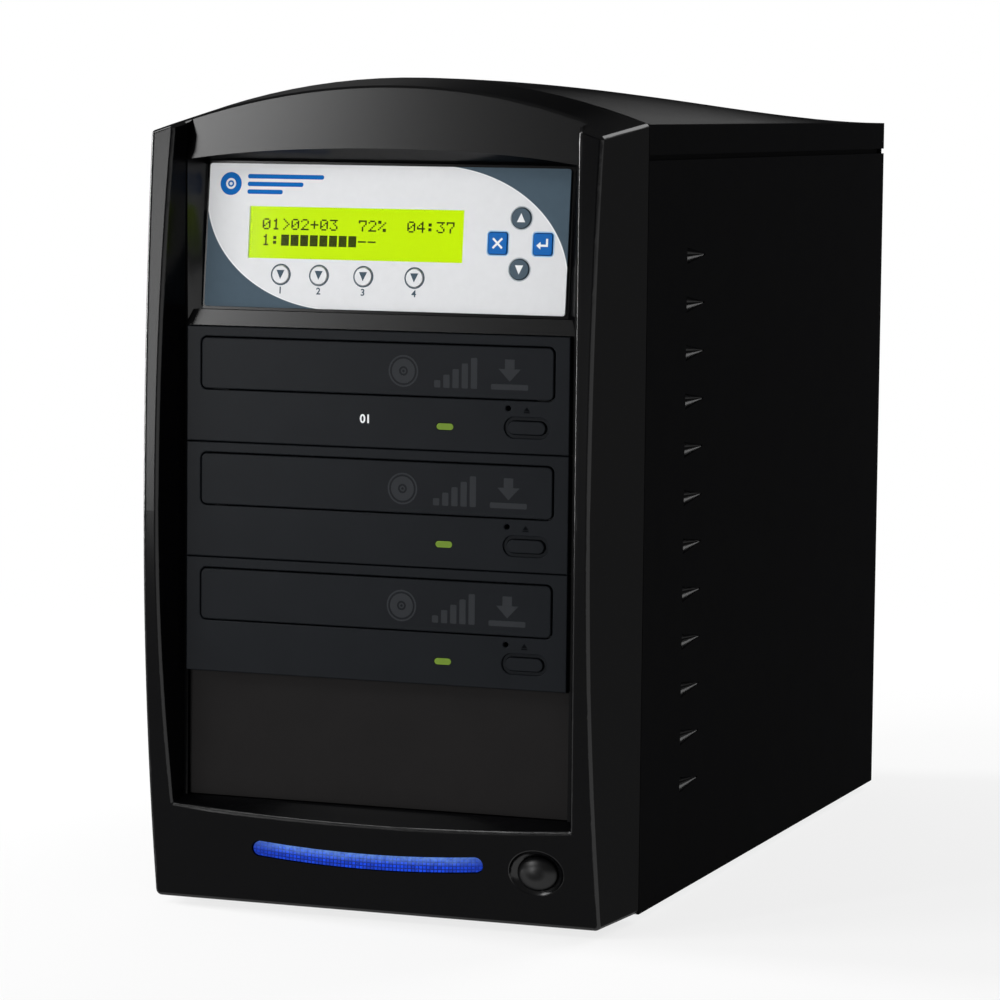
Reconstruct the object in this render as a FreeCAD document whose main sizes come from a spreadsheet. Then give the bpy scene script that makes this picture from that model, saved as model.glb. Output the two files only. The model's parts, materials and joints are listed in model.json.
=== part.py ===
"""Tower disc duplicator with three optical drives, as a parametric assembly in millimetres.

The front faces -Y, +X is to the right seen from the front and +Z is up.
The origin is on the ground, under the middle of the bounding box.
"""
import FreeCAD, Part
import math
import os
import Sketcher

# Driving sizes: name, value, meaning. Lengths in millimetres, angles in degrees.
SIZES = (
    ("foot_height", 3.0, "rubber foot under the case floor"),
    ("chin_height", 38.9, "case floor to the bottom of the bay opening"),
    ("blank_height", 46.3, "blanked bay below the drives"),
    ("drive_pitch", 42.3, "height of one drive bay"),
    ("bar_rise", 6.0, "top of the drives to the bottom of the panel pocket"),
    ("brow_height", 15.0, "top of the panel pocket to the flat edge of the top cover"),
    ("arch_rise", 16.0, "crown of the arch over the flat edge, at the seam"),
    ("crown_drop", 5.4, "fall of the bezel's crown from the seam to its foremost line"),
    ("bezel_depth", 50.0, "foremost line of the bezel to its seam with the steel body"),
    ("body_length", 326.0, "steel body, from the bezel's seam to the rear face"),
    ("rear_stand", 3.0, "what stands proud of the rear face"),
    ("drive_setback", 12.4, "foremost line of the bezel to the drive faces"),
    ("drive_face_width", 148.0, "width of a drive's face"),
    ("bay_clearance", 0.3, "gap between a drive face and the bay opening"),
    ("window_step", 1.3, "step from the bay opening to the window behind the pillars"),
    ("window_draft", 4.7, "outward slope of each window wall, back to front"),
    ("window_depth", 14.6, "foremost line of the bezel to the back of the window"),
    ("pillar_width", 5.7, "front face of a pillar"),
    ("flare", 4.0, "widening of each bezel side from front to seam"),
    ("bow_height", 145.0, "foremost line of the bowed front above the case floor"),
    ("bow_upper_radius", 1200.0, "bow of the front above the foremost line"),
    ("bow_lower_radius", 725.0, "bow of the front below the foremost line"),
    ("bezel_wall", 3.0, "moulded wall of the bezel"),
    ("bezel_front_wall", 18.4, "drive face plane to the hollow back of the bezel"),
    ("bezel_corner", 2.4, "rounding of the bezel's bottom corners"),
    ("bezel_round", 1.6, "rounding of the bezel's front edges"),
    ("seam_round", 0.5, "rounding of the bezel's rear edge"),
    ("ledge_fall", 6.5, "fall of the chin ledge at its ends"),
    ("ledge_sag", 10.1, "extra fall of the chin ledge in the middle"),
    ("brow_lean", 24.8, "backward lean of the brow over the panel"),
    ("brow_lip", 0.6, "panel pocket to the ends of the brow's lower edge"),
    ("brow_sag", 7.0, "rise of the brow's lower edge in the middle"),
    ("sheet", 1.0, "steel sheet"),
    ("lip_height", 11.0, "side lip of the top cover"),
    ("lip_groove", 2.0, "shadow gap between the lip and the side panel"),
    ("skirt_inset", 2.0, "top cover's skirt inside its lip"),
    ("skirt_height", 11.0, "top cover's skirt below its lip"),
    ("pan_height", 14.0, "folded edge of the base pan"),
    ("flange_gap", 2.0, "power supply to the folded rear edge of a side panel"),
    ("foot_radius", 8.0, "rubber foot at the pan"),
    ("foot_taper", 1.0, "narrowing of a foot towards the ground"),
    ("foot_inset", 26.0, "foot centre from the side and ends of the steel body"),
    ("louvre_length", 22.0, "drawn louvre, along the case"),
    ("louvre_radius", 3.0, "open end of a louvre, a half round drawn into the case"),
    ("louvre_tip", 0.3, "closed end of a louvre, a half round drawn into the case"),
    ("louvre_wall", 0.7, "drawn sheet of a louvre"),
    ("louvre_pitch", 18.0, "spacing of the louvres"),
    ("louvre_start", 40.5, "lowest louvre above the case floor"),
    ("louvre_setback", 47.0, "seam to the open end of a louvre"),
    ("panel_tilt", 5.8, "backward lean of the control panel"),
    ("panel_setback", 9.3, "drive face plane to the middle of the panel's seat"),
    ("panel_margin", 4.8, "window behind the pillars to the panel's pocket"),
    ("overlay_height", 52.2, "control panel overlay"),
    ("overlay_thick", 1.0, "control panel overlay"),
    ("overlay_gap", 1.0, "dark gap round the overlay"),
    ("overlay_corner", 1.0, "rounding of the overlay"),
    ("overlay_rim", 2.75, "overlay's seat in the pocket"),
    ("panel_seat", 6.0, "pocket floor to the keypad board"),
    ("board_thick", 1.6, "circuit boards"),
    ("lcd_left", 16.4, "left edge of the overlay to the display window"),
    ("lcd_right", 39.75, "display window to the right edge of the overlay"),
    ("lcd_height", 18.9, "display window"),
    ("lcd_up", 1.25, "display window from the panel's middle"),
    ("lcd_border", 4.0, "display module's frame beside the window"),
    ("lcd_edge", 1.2, "display module's frame above and below the window"),
    ("round_key", 7.2, "arrow key diameter"),
    ("square_key_width", 7.1, "square key"),
    ("square_key_height", 7.7, "square key"),
    ("square_key_corner", 0.9, "square key"),
    ("small_key", 6.4, "shortcut key diameter"),
    ("key_cross_inset", 17.9, "middle of the four menu keys from the right edge of the overlay"),
    ("key_cross_up", -0.85, "middle of the four menu keys"),
    ("arrow_reach", 9.15, "arrow keys from the middle of the menu keys"),
    ("square_reach", 8.55, "square keys from the middle of the menu keys"),
    ("small_keys_up", -14.0, "row of shortcut keys"),
    ("small_key_1_inset", 29.8, "left edge of the overlay to a shortcut key"),
    ("small_key_2_inset", 44.8, "left edge of the overlay to a shortcut key"),
    ("small_key_3_inset", 62.1, "left edge of the overlay to a shortcut key"),
    ("small_key_4_inset", 81.9, "left edge of the overlay to a shortcut key"),
    ("key_gap", 0.3, "gap round a key"),
    ("key_proud", 0.5, "key top over the overlay"),
    ("key_flange", 0.8, "retaining flange of a key"),
    ("key_round", 0.25, "rounding of a key's top"),
    ("key_travel", 0.5, "press of a key"),
    ("key_rest_gap", 0.3, "key to the switch under it, when pressed"),
    ("switch_height", 2.4, "key switch on the board"),
    ("chassis_inset", 1.0, "side of a drive's face to its chassis"),
    ("drive_length", 165.0, "drive chassis"),
    ("drive_skin", 0.8, "drive chassis sheet"),
    ("drive_round", 0.4, "rounding of the drives' faces, doors and eject buttons"),
    ("drive_screw_setback", 47.4, "front of the drive chassis to its first side screw"),
    ("drive_screw_pitch", 79.2, "side screws of a drive"),
    ("drive_screw_up", 9.9, "side screws above the bottom of the drive chassis"),
    ("face_depth", 5.0, "drive face"),
    ("face_wall", 2.2, "drive face wall"),
    ("face_gap", 0.4, "gap between stacked drive faces"),
    ("door_inset", 6.0, "side of a drive's face to its tray door"),
    ("door_height", 18.5, "tray door"),
    ("door_drop", 4.1, "top of the drive face to the tray door"),
    ("door_corner", 2.0, "tray door"),
    ("door_gap", 0.5, "gap round the tray door"),
    ("door_proud", 0.4, "tray door over the drive face"),
    ("door_thick", 2.6, "tray door"),
    ("tray_inset", 4.0, "side of the tray door to the disc tray"),
    ("tray_length", 150.0, "disc tray"),
    ("tray_height", 8.0, "disc tray"),
    ("tray_drop", 11.5, "top of the drive face to the tray's rim"),
    ("tray_corner", 8.0, "rounding of the tray's rear corners"),
    ("tray_slot", 36.0, "spindle slot in the tray"),
    ("tray_slot_length", 76.0, "spindle slot in the tray"),
    ("tray_gap", 0.3, "tray to its rails"),
    ("tray_rim", 3.5, "side of the disc tray to its large disc recess"),
    ("small_disc_well", 82.0, "small disc recess"),
    ("disc_well_depth", 2.2, "large disc recess"),
    ("small_well_depth", 1.4, "small disc recess below the large one"),
    ("disc_setback", 66.0, "front of the tray to the disc's middle"),
    ("deck_thick", 2.0, "deck plate in the drive"),
    ("deck_drop", 8.5, "bottom of the tray to the deck plate"),
    ("rail_width", 4.0, "tray rail"),
    ("hub_radius", 14.0, "spindle hub"),
    ("hub_nose_radius", 7.3, "spindle hub's centring nose"),
    ("hub_thick", 3.0, "spindle hub"),
    ("hub_nose", 1.8, "spindle hub's centring nose"),
    ("shaft_radius", 1.5, "spindle shaft"),
    ("shaft_gap", 0.06, "spindle shaft in its bearing"),
    ("eject_width", 14.3, "eject button"),
    ("eject_height", 4.7, "eject button"),
    ("eject_inset", 16.0, "eject button from the right side of the drive face"),
    ("eject_up", 9.2, "eject button above the bottom of the drive face"),
    ("eject_gap", 0.3, "gap round the eject button"),
    ("eject_rim", 1.1, "recess round the eject button"),
    ("eject_sink", 0.8, "recess round the eject button"),
    ("eject_travel", 1.0, "press of the eject button"),
    ("lamp_width", 6.3, "drive light"),
    ("lamp_height", 2.3, "drive light"),
    ("lamp_inset", 47.1, "drive light from the right side of the drive face"),
    ("lamp_up", 8.6, "drive light above the bottom of the drive face"),
    ("pinhole", 1.9, "emergency eject hole"),
    ("pinhole_inset", 23.1, "emergency eject hole from the right side of the drive face"),
    ("pinhole_up", 16.0, "emergency eject hole above the bottom of the drive face"),
    ("blank_setback", 4.0, "drive face plane to the blank"),
    ("blank_thick", 2.5, "blank"),
    ("blank_rim", 10.0, "folded edge of the blank"),
    ("bar_width", 89.6, "light bar in the chin"),
    ("bar_height", 5.2, "light bar in the chin"),
    ("bar_across", -1.4, "light bar in the chin"),
    ("bar_up", 21.3, "ends of the light bar above the case floor"),
    ("bar_sag", 2.0, "sag of the light bar"),
    ("bar_gap", 0.4, "gap round the light bar"),
    ("bar_sink", 1.2, "light bar behind the top edge of its slot"),
    ("chin_wall", 6.0, "drive face plane to the back of the chin's wall"),
    ("power_inset", 16.3, "power button from the right pillar"),
    ("power_up", 19.7, "power button above the case floor"),
    ("power_width", 15.0, "power button"),
    ("power_height", 12.0, "power button"),
    ("power_dome", 3.0, "domed front of the power button"),
    ("power_proud", 1.5, "power button before the chin"),
    ("power_gap", 0.3, "gap round the power button"),
    ("power_well", 2.8, "dished well round the power button"),
    ("power_well_depth", 3.2, "dished well round the power button"),
    ("power_well_round", 0.5, "rounding of the well's rim"),
    ("power_travel", 2.5, "press of the power button"),
    ("power_flange", 1.0, "retaining flange of the power button"),
    ("switch_body", 4.0, "power switch"),
    ("post_reach", 12.0, "board posts from the middle of the power button"),
    ("post_radius", 2.5, "board posts in the chin"),
    ("cage_gap", 0.2, "drive chassis to the cage"),
    ("cage_length", 122.0, "drive cage"),
    ("cage_foot", 10.0, "drive cage's foot on the base pan"),
    ("cage_head", 3.0, "top drive to the cage's roof"),
    ("standoff_height", 6.0, "controller board over the cage"),
    ("standoff_radius", 3.0, "controller board post"),
    ("controller_width", 120.0, "controller board"),
    ("controller_length", 84.0, "controller board"),
    ("processor_size", 28.0, "processor on the controller board"),
    ("memory_size", 17.0, "memory chip on the controller board"),
    ("chip_height", 2.4, "chips over the controller board"),
    ("chip_setback", 14.0, "front of the controller board to its chips"),
    ("chip_gap", 8.0, "processor to the memory chip"),
    ("data_socket_width", 14.0, "drive socket on the controller board"),
    ("data_socket_depth", 7.0, "drive socket on the controller board"),
    ("data_socket_height", 6.4, "drive socket on the controller board"),
    ("data_socket_pitch", 22.4, "drive sockets on the controller board"),
    ("psu_width", 150.0, "power supply"),
    ("psu_height", 86.0, "power supply"),
    ("psu_length", 140.0, "power supply"),
    ("psu_rim", 8.0, "power supply's rear edge behind the rear panel"),
    ("coil_size", 34.0, "transformer on the power supply's board"),
    ("coil_setback", 34.0, "front of the power supply's board to the transformer"),
    ("can_across", 50.0, "capacitors from the middle of the power supply's board"),
    ("fin_height", 42.0, "heat sinks on the power supply's board"),
    ("can_radius", 8.0, "capacitors on the power supply's board"),
    ("inlet_inset", 31.0, "power inlet from the left side of the power supply"),
    ("inlet_width", 27.0, "power inlet body"),
    ("inlet_height", 20.0, "power inlet body"),
    ("inlet_depth", 18.0, "power inlet body"),
    ("inlet_flange", 2.5, "power inlet's flange round its body"),
    ("inlet_wall", 1.9, "power inlet's wall round its socket"),
    ("socket_depth", 15.0, "power inlet's socket"),
    ("blade_thick", 2.0, "power inlet's blades"),
    ("blade_width", 4.0, "power inlet's blades"),
    ("blade_reach", 7.0, "power inlet's outer blades from its middle"),
    ("blade_rise", 4.0, "power inlet's middle blade over the outer ones"),
    ("rocker_inset", 63.0, "rocker switch from the left side of the power supply"),
    ("rocker_width", 12.0, "rocker"),
    ("rocker_height", 17.0, "rocker"),
    ("rocker_depth", 6.0, "rocker"),
    ("rocker_tilt", 9.0, "rocker's lean to each side"),
    ("rocker_gap", 0.4, "rocker in its frame"),
    ("rocker_swing", 1.2, "room for the rocker's ends"),
    ("rocker_room", 9.0, "depth of the rocker's frame"),
    ("rocker_frame", 1.8, "wall of the rocker's frame"),
    ("rocker_pivot", 4.5, "rear face of the power supply to the rocker's pivot"),
    ("pivot_radius", 1.2, "rocker's pivot pins"),
    ("pivot_seat", 1.1, "rocker's pivot pins in the frame"),
    ("fan_size", 80.0, "exhaust fan"),
    ("fan_depth", 25.0, "exhaust fan"),
    ("fan_up", 62.0, "power supply's top to the fan's middle"),
    ("fan_bore_radius", 38.0, "fan's air way"),
    ("fan_hole_reach", 35.75, "fan screws from the fan's middle"),
    ("fan_hub_radius", 16.0, "fan rotor"),
    ("fan_tip_gap", 1.2, "blade tips to the fan's frame"),
    ("fan_hub_depth", 18.0, "fan rotor"),
    ("fan_blade_twist", 9.0, "depth swept by a blade"),
    ("fan_blade_chord", 13.0, "width of a blade at the hub"),
    ("fan_tip_chord", 20.8, "width of a blade at its tip"),
    ("fan_blade_thick", 1.2, "blade"),
    ("fan_post_radius", 3.0, "fan's bearing post"),
    ("fan_post_gap", 0.06, "fan's bearing"),
    ("fan_back", 3.0, "motor plate of the fan"),
    ("guard_wire", 1.2, "finger guard"),
    ("guard_ring", 2.2, "rings of the finger guard"),
    ("screw_radius", 1.5, "screws"),
    ("screw_gap", 0.1, "screws in their holes"),
    ("head_radius", 3.0, "screw heads"),
    ("head_height", 1.8, "screw heads"),
    ("vent_width", 3.0, "vent slots"),
    ("vent_pitch", 7.0, "vent slots"),
    ("vent_length", 46.0, "vent slots"),
    ("spare", 1.0, "overrun of a cutting shape"),
)

DRIVE_COUNT = 3
LOUVRE_COUNT = 12
BLADE_COUNT = 7
REAR_VENT_COUNT = 9
SUPPLY_VENT_COUNT = 8
GUARD_RING_COUNT = 3
FLANGE_SCREW_COUNT = 3
COVER_STATIONS = 4
GUARD_ARM_TURNS = (45, 135, 225, 315)
FIT = 1e-6

# An oval dome spread this much falls, at the rim it is cut to, by half its own height.
DOME_SPREAD = 2 / math.sqrt(3)

V = FreeCAD.Vector
doc = FreeCAD.newDocument("disc_duplicator")
sheet = doc.addObject("Spreadsheet::Sheet", "sizes")
nodes = {}


class Size:
    """A number together with the spreadsheet expression that gives it."""

    def __init__(self, value, text):
        self.value = value
        self.text = text

    def __add__(self, other):
        other = as_size(other)
        return Size(self.value + other.value, f"({self.text} + {other.text})")

    def __sub__(self, other):
        other = as_size(other)
        return Size(self.value - other.value, f"({self.text} - {other.text})")

    def __mul__(self, other):
        other = as_size(other)
        return Size(self.value * other.value, f"({self.text} * {other.text})")

    def __truediv__(self, other):
        other = as_size(other)
        return Size(self.value / other.value, f"({self.text} / {other.text})")

    def __radd__(self, other):
        return as_size(other) + self

    def __rsub__(self, other):
        return as_size(other) - self

    def __rmul__(self, other):
        return as_size(other) * self

    def __neg__(self):
        return as_size(0) - self


def as_size(number):
    """A plain number as a Size."""
    if isinstance(number, Size):
        return number
    return Size(float(number), f"({float(number)})")


def root(size):
    return Size(math.sqrt(size.value), f"sqrt({size.text})")


def sine(angle):
    return Size(math.sin(math.radians(angle.value)), f"sin({angle.text} * 1 deg)")


def cosine(angle):
    return Size(math.cos(math.radians(angle.value)), f"cos({angle.text} * 1 deg)")


def arc_radius(half_chord, rise):
    """Radius of the arc over a chord."""
    return (half_chord * half_chord + rise * rise) / (rise * 2)


class Sheet:
    """The driving sizes by name."""

    def __init__(self):
        for row, (name, value, meaning) in enumerate(SIZES, start=1):
            sheet.set(f"A{row}", meaning)
            sheet.set(f"B{row}", str(value))
            sheet.setAlias(f"B{row}", name)
            setattr(self, name, Size(value, f"sizes.{name}"))
        doc.recompute()


s = Sheet()

# Planes and heights that the pieces share
y_front = -(s.bezel_depth + s.body_length + s.rear_stand) / 2
y_seam = y_front + s.bezel_depth
y_rear = y_seam + s.body_length
y_rear_inner = y_rear - s.sheet
y_drive = y_front + s.drive_setback
y_window = y_front + s.window_depth
y_hollow = y_drive + s.bezel_front_wall
y_chin = y_drive + s.chin_wall
drive_half = s.drive_face_width / 2
bay_half = drive_half + s.bay_clearance
window_half = bay_half + s.window_step
pillar_inner = window_half + s.window_draft
waist_half = pillar_inner + s.pillar_width
case_half = waist_half + s.flare
inner_half = case_half - s.sheet
z_floor = s.foot_height
z_pan = z_floor + s.sheet
z_bay = z_floor + s.chin_height
z_stack = z_bay + s.blank_height
z_drives = z_stack + s.drive_pitch * DRIVE_COUNT
overlay_half = window_half - s.panel_margin - s.overlay_gap
lcd_low_x = s.lcd_left - overlay_half
lcd_high_x = overlay_half - s.lcd_right
pocket_half = overlay_half + s.overlay_gap
pocket_rise = s.overlay_height / 2 + s.overlay_gap
z_pocket = z_drives + s.bar_rise
z_panel = z_pocket + pocket_rise * cosine(s.panel_tilt)
y_panel = y_drive + s.panel_setback
z_brow = z_panel + pocket_rise * cosine(s.panel_tilt) + s.brow_lip
z_shoulder = z_brow - s.brow_lip + s.brow_height
z_crown = z_shoulder + s.arch_rise
z_bow = z_floor + s.bow_height
z_lip = z_shoulder - s.lip_height
z_side = z_lip - s.lip_groove
arch = arc_radius(case_half, s.arch_rise)
y_tray = y_drive - s.door_proud + s.door_thick
y_disc = y_tray + s.disc_setback
chassis_half = drive_half - s.chassis_inset
door_half = drive_half - s.door_inset
tray_half = door_half - s.tray_inset
eject_across = drive_half - s.eject_inset
lamp_across = drive_half - s.lamp_inset
power_across = pillar_inner - s.power_inset
flange_width = inner_half - s.psu_width / 2 - s.flange_gap
inlet_across = s.inlet_inset - s.psu_width / 2
rocker_across = s.rocker_inset - s.psu_width / 2
cage_inner = chassis_half + s.cage_gap
cage_outer = cage_inner + s.sheet
z_cage = z_drives + s.cage_head
z_supply = z_pan + s.psu_height
z_inlet = z_pan + s.psu_height / 2
z_fan = z_supply + s.fan_up
y_supply = y_rear_inner - s.psu_length
y_power_flange = y_chin + s.bay_clearance
y_board = y_power_flange + s.power_flange + s.power_travel + s.key_rest_gap + s.switch_body
y_chassis = y_drive + s.face_depth
y_eject = y_chassis - s.face_gap
y_eject_switch = y_eject + s.eject_travel + s.key_rest_gap
y_rocker = y_rear_inner - s.rocker_pivot

# Sketch planes: turn of the sketch, and the coordinate along which it is offset.
# On "panel" the sketch lies on the leaning seat of the control panel.
PLANE_TURN = {
    "plan": FreeCAD.Rotation(),
    "front": FreeCAD.Rotation(V(1, 0, 0), 90),
    "side": FreeCAD.Rotation(V(1, 1, 1), 120),
}
PLANE_AXIS = {"plan": "z", "front": "y", "side": "x"}
ORIGIN_PLANE = {"plan": "XY_Plane", "front": "XZ_Plane", "side": "YZ_Plane"}


def bind(thing, name, size):
    thing.setExpression(name, as_size(size).text)


def place(thing, x, y, z):
    """Ties a thing's place to the sheet."""
    for axis, size in (("x", x), ("y", y), ("z", z)):
        bind(thing, f"Placement.Base.{axis}", size)


def lean(thing, rise=0):
    """Puts a thing on the leaning seat of the control panel, raised off it by rise."""
    tilt = s.panel_tilt
    thing.Placement = FreeCAD.Placement(V(), FreeCAD.Rotation(V(1, 0, 0), 90 - tilt.value))
    bind(thing, "Placement.Rotation.Angle", 90 - tilt)
    place(thing, 0, y_panel - rise * cosine(tilt), z_panel + rise * sine(tilt))


def circle(u, v, radius):
    """A full round: an outline with one corner, its centre."""
    return [(u, v, radius)]


def rectangle(u0, u1, v0, v1):
    return [(u0, v0), (u1, v0), (u1, v1), (u0, v1)]


def rounded(u0, u1, v0, v1, r):
    """A rectangle with round corners."""
    return [
        (u0 + r, v0), (u1 - r, v0, r), (u1, v0 + r), (u1, v1 - r, r),
        (u1 - r, v1), (u0 + r, v1, r), (u0, v1 - r), (u0, v0 + r, r),
    ]


def stadium(u, v, width, height):
    """A slot with half-round ends."""
    r = height / 2
    reach = width / 2 - r
    return [(u - reach, v - r), (u + reach, v - r, r), (u + reach, v + r), (u - reach, v + r, r)]


def stadium_upright(u, v, width, height):
    """An upright slot with half-round ends."""
    r = width / 2
    reach = height / 2 - r
    return [(u + r, v - reach), (u + r, v + reach, r), (u - r, v + reach), (u - r, v - reach, r)]


def arc_through(start, end, radius):
    """An arc between two corners; a positive radius bulges to the right of the way along it."""
    chord = end.sub(start)
    middle = start.add(end).multiply(0.5)
    rise = abs(radius) - math.sqrt(max(radius * radius - chord.Length ** 2 / 4, 0.0))
    outward = V(chord.y, -chord.x, 0).normalize()
    if radius < 0:
        return Part.Arc(end, middle.sub(outward.multiply(rise)), start)
    return Part.Arc(start, middle.add(outward.multiply(rise)), end)


def draw(sketch, outline):
    """Draws one closed outline, with its corners and radii tied to the sheet.

    A corner is (u, v), or (u, v, radius) where the side that leaves it is an arc.
    """
    rules = []
    sizes = []

    def rule(size, *words):
        rules.append(Sketcher.Constraint(*words, as_size(size).value))
        sizes.append(size)

    first = sketch.GeometryCount
    if len(outline) == 1:
        u, v, radius = (as_size(size) for size in outline[0])
        sketch.addGeometry(Part.Circle(V(u.value, v.value, 0), V(0, 0, 1), radius.value))
        rule(u, "DistanceX", -1, 1, first, 3)
        rule(v, "DistanceY", -1, 1, first, 3)
        rule(radius, "Radius", first)
    else:
        corners = [V(as_size(c[0]).value, as_size(c[1]).value, 0) for c in outline]
        ends = []
        for index, corner in enumerate(outline):
            start = corners[index]
            end = corners[(index + 1) % len(corners)]
            if len(corner) == 2:
                sketch.addGeometry(Part.LineSegment(start, end))
            else:
                radius = as_size(corner[2])
                sketch.addGeometry(arc_through(start, end, radius.value))
                half_round = math.isclose(start.distanceToPoint(end), 2 * radius.value)
                if half_round and start.x == end.x:
                    rule(corner[0], "DistanceX", -1, 1, first + index, 3)
                elif half_round:
                    rule(corner[1], "DistanceY", -1, 1, first + index, 3)
                else:
                    rule(radius if radius.value > 0 else -radius, "Radius", first + index)
            begins = sketch.Geometry[first + index].StartPoint.isEqual(start, 1e-6)
            ends.append((1, 2) if begins else (2, 1))
            rule(corner[0], "DistanceX", -1, 1, first + index, ends[-1][0])
            rule(corner[1], "DistanceY", -1, 1, first + index, ends[-1][0])
        for index in range(len(outline)):
            after = (index + 1) % len(outline)
            rules.append(Sketcher.Constraint(
                "Coincident", first + index, ends[index][1], first + after, ends[after][0]))
            sizes.append(None)
    offset = sketch.ConstraintCount
    sketch.addConstraint(rules)
    for index, size in enumerate(sizes):
        if size is not None:
            bind(sketch, f"Constraints[{offset + index}]", size)


def drawing(plane, at, *outlines):
    """A sketch on one of the planes, at a place along the plane's axis."""
    sketch = doc.addObject("Sketcher::SketchObject", "outline")
    if plane == "panel":
        lean(sketch, at)
    else:
        sketch.Placement = FreeCAD.Placement(V(), PLANE_TURN[plane])
        bind(sketch, f"Placement.Base.{PLANE_AXIS[plane]}", at)
    for outline in outlines:
        draw(sketch, outline)
    return sketch


def prism(plane, start, end, *outlines):
    """Outlines drawn out from start to end along the plane's axis."""
    made = doc.addObject("Part::Extrusion", "prism")
    made.Base = drawing(plane, start, *outlines)
    made.DirMode = "Normal"
    made.Reversed = plane == "front"
    made.Solid = True
    bind(made, "LengthFwd", as_size(end) - start)
    return made


def loft(ruled, *sketches):
    made = doc.addObject("Part::Loft", "loft")
    made.Sections = list(sketches)
    made.Solid = True
    made.Ruled = ruled
    return made


def block(x0, x1, y0, y1, z0, z1):
    made = doc.addObject("Part::Box", "block")
    bind(made, "Length", as_size(x1) - x0)
    bind(made, "Width", as_size(y1) - y0)
    bind(made, "Height", as_size(z1) - z0)
    place(made, x0, y0, z0)
    return made


def rod(axis, x, y, z, radius, length):
    """A cylinder from a point along +x, +y or +z."""
    turns = {"x": (V(0, 1, 0), 90), "y": (V(1, 0, 0), -90), "z": (V(0, 0, 1), 0)}
    made = doc.addObject("Part::Cylinder", "rod")
    made.Placement = FreeCAD.Placement(V(), FreeCAD.Rotation(*turns[axis]))
    bind(made, "Radius", radius)
    bind(made, "Height", length)
    place(made, x, y, z)
    return made


def oval_rod(x, z, half_width, half_height, y0, y1):
    """An oval cylinder along +y."""
    edge = doc.addObject("Part::Ellipse", "oval")
    edge.Placement = FreeCAD.Placement(V(), FreeCAD.Rotation(V(1, 0, 0), 90))
    bind(edge, "MajorRadius", half_width)
    bind(edge, "MinorRadius", half_height)
    place(edge, x, y0, z)
    made = doc.addObject("Part::Extrusion", "oval_rod")
    made.Base = edge
    made.DirMode = "Custom"
    made.Dir = V(0, 1, 0)
    made.Solid = True
    bind(made, "LengthFwd", as_size(y1) - y0)
    return made


def egg(x, y, z, half_x, half_y, half_z):
    made = doc.addObject("Part::Ellipsoid", "egg")
    bind(made, "Radius1", half_z)
    bind(made, "Radius2", half_x)
    bind(made, "Radius3", half_y)
    place(made, x, y, z)
    return made


def cut(base, *tools):
    made = doc.addObject("Part::Cut", "cut")
    made.Base = base
    made.Tool = tools[0] if len(tools) == 1 else fuse(*tools)
    return made


def fuse(*shapes):
    made = doc.addObject("Part::MultiFuse", "fuse")
    made.Shapes = list(shapes)
    return made


def common(*shapes):
    made = doc.addObject("Part::MultiCommon", "common")
    made.Shapes = list(shapes)
    return made


def mirrored(shape):
    """The same shape on the other side of the middle plane."""
    made = doc.addObject("Part::Mirroring", "mirrored")
    made.Source = shape
    made.Normal = V(1, 0, 0)
    return made


def group(*shapes):
    made = doc.addObject("Part::Compound", "group")
    made.Links = list(shapes)
    return made


def node(name, made):
    """Names a finished sub-part."""
    made.Label = name
    nodes[name] = made
    return made


class Piece:
    """One moulded, turned or pressed piece, built up feature by feature in its own body.

    A piece may start from a base shape that is already there.
    """

    def __init__(self, name, base=None):
        self.body = doc.addObject("PartDesign::Body", name)
        if base:
            self.body.BaseFeature = base
        node(name, self.body)

    def drawing(self, plane, at, *outlines):
        sketch = self.body.newObject("Sketcher::SketchObject", "outline")
        origin = [f for f in self.body.Origin.OriginFeatures if f.Role == ORIGIN_PLANE[plane]]
        sketch.AttachmentSupport = [(origin[0], "")]
        sketch.MapMode = "FlatFace"
        bind(sketch, "AttachmentOffset.Base.z", -as_size(at) if plane == "front" else at)
        for outline in outlines:
            draw(sketch, outline)
        return sketch

    def pad(self, plane, start, end, *outlines):
        made = self.body.newObject("PartDesign::Pad", "pad")
        made.Profile = self.drawing(plane, start, *outlines)
        made.Reversed = plane == "front"
        bind(made, "Length", as_size(end) - start)
        return made

    def pocket(self, plane, start, end, *outlines):
        made = self.body.newObject("PartDesign::Pocket", "pocket")
        made.Profile = self.drawing(plane, start, *outlines)
        made.Reversed = plane != "front"
        bind(made, "Length", as_size(end) - start)
        return made

    def turn(self, outline):
        """An outline (radius, height) turned about the body's own vertical axis."""
        made = self.body.newObject("PartDesign::Revolution", "turned")
        sketch = self.drawing("front", 0, outline)
        made.Profile = sketch
        made.ReferenceAxis = (sketch, ["V_Axis"])
        made.Angle = 360
        return made

    def soften(self, radius, pick):
        """Rounds the edges that pick finds on the piece as it is so far."""
        doc.recompute()
        before = self.body.Tip
        edges = pick(before.Shape)
        names = [
            f"Edge{number}" for number, edge in enumerate(before.Shape.Edges, start=1)
            if any(edge.isSame(other) for other in edges)
        ]
        made = self.body.newObject("PartDesign::Fillet", "softened")
        made.Base = (before, names)
        bind(made, "Radius", radius)
        return made

    def half_cone(self, kind, side, wide, narrow):
        """The lowest louvre's half cone, drawn inward from a side panel's face, from its open end back."""
        made = self.body.newObject(f"PartDesign::{kind}", "louvre")
        inward = V(-side, 0, 0)
        back = V(0, 1, 0)
        made.Placement.Rotation = FreeCAD.Rotation(inward.cross(back), inward, back, "ZYX")
        place(made, side * case_half, y_seam + s.louvre_setback, z_floor + s.louvre_start)
        made.Angle = 180
        bind(made, "Radius1", wide)
        bind(made, "Radius2", narrow)
        bind(made, "Height", s.louvre_length)
        return made

    def axis(self, role):
        return [f for f in self.body.Origin.OriginFeatures if f.Role == role][0]


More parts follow.
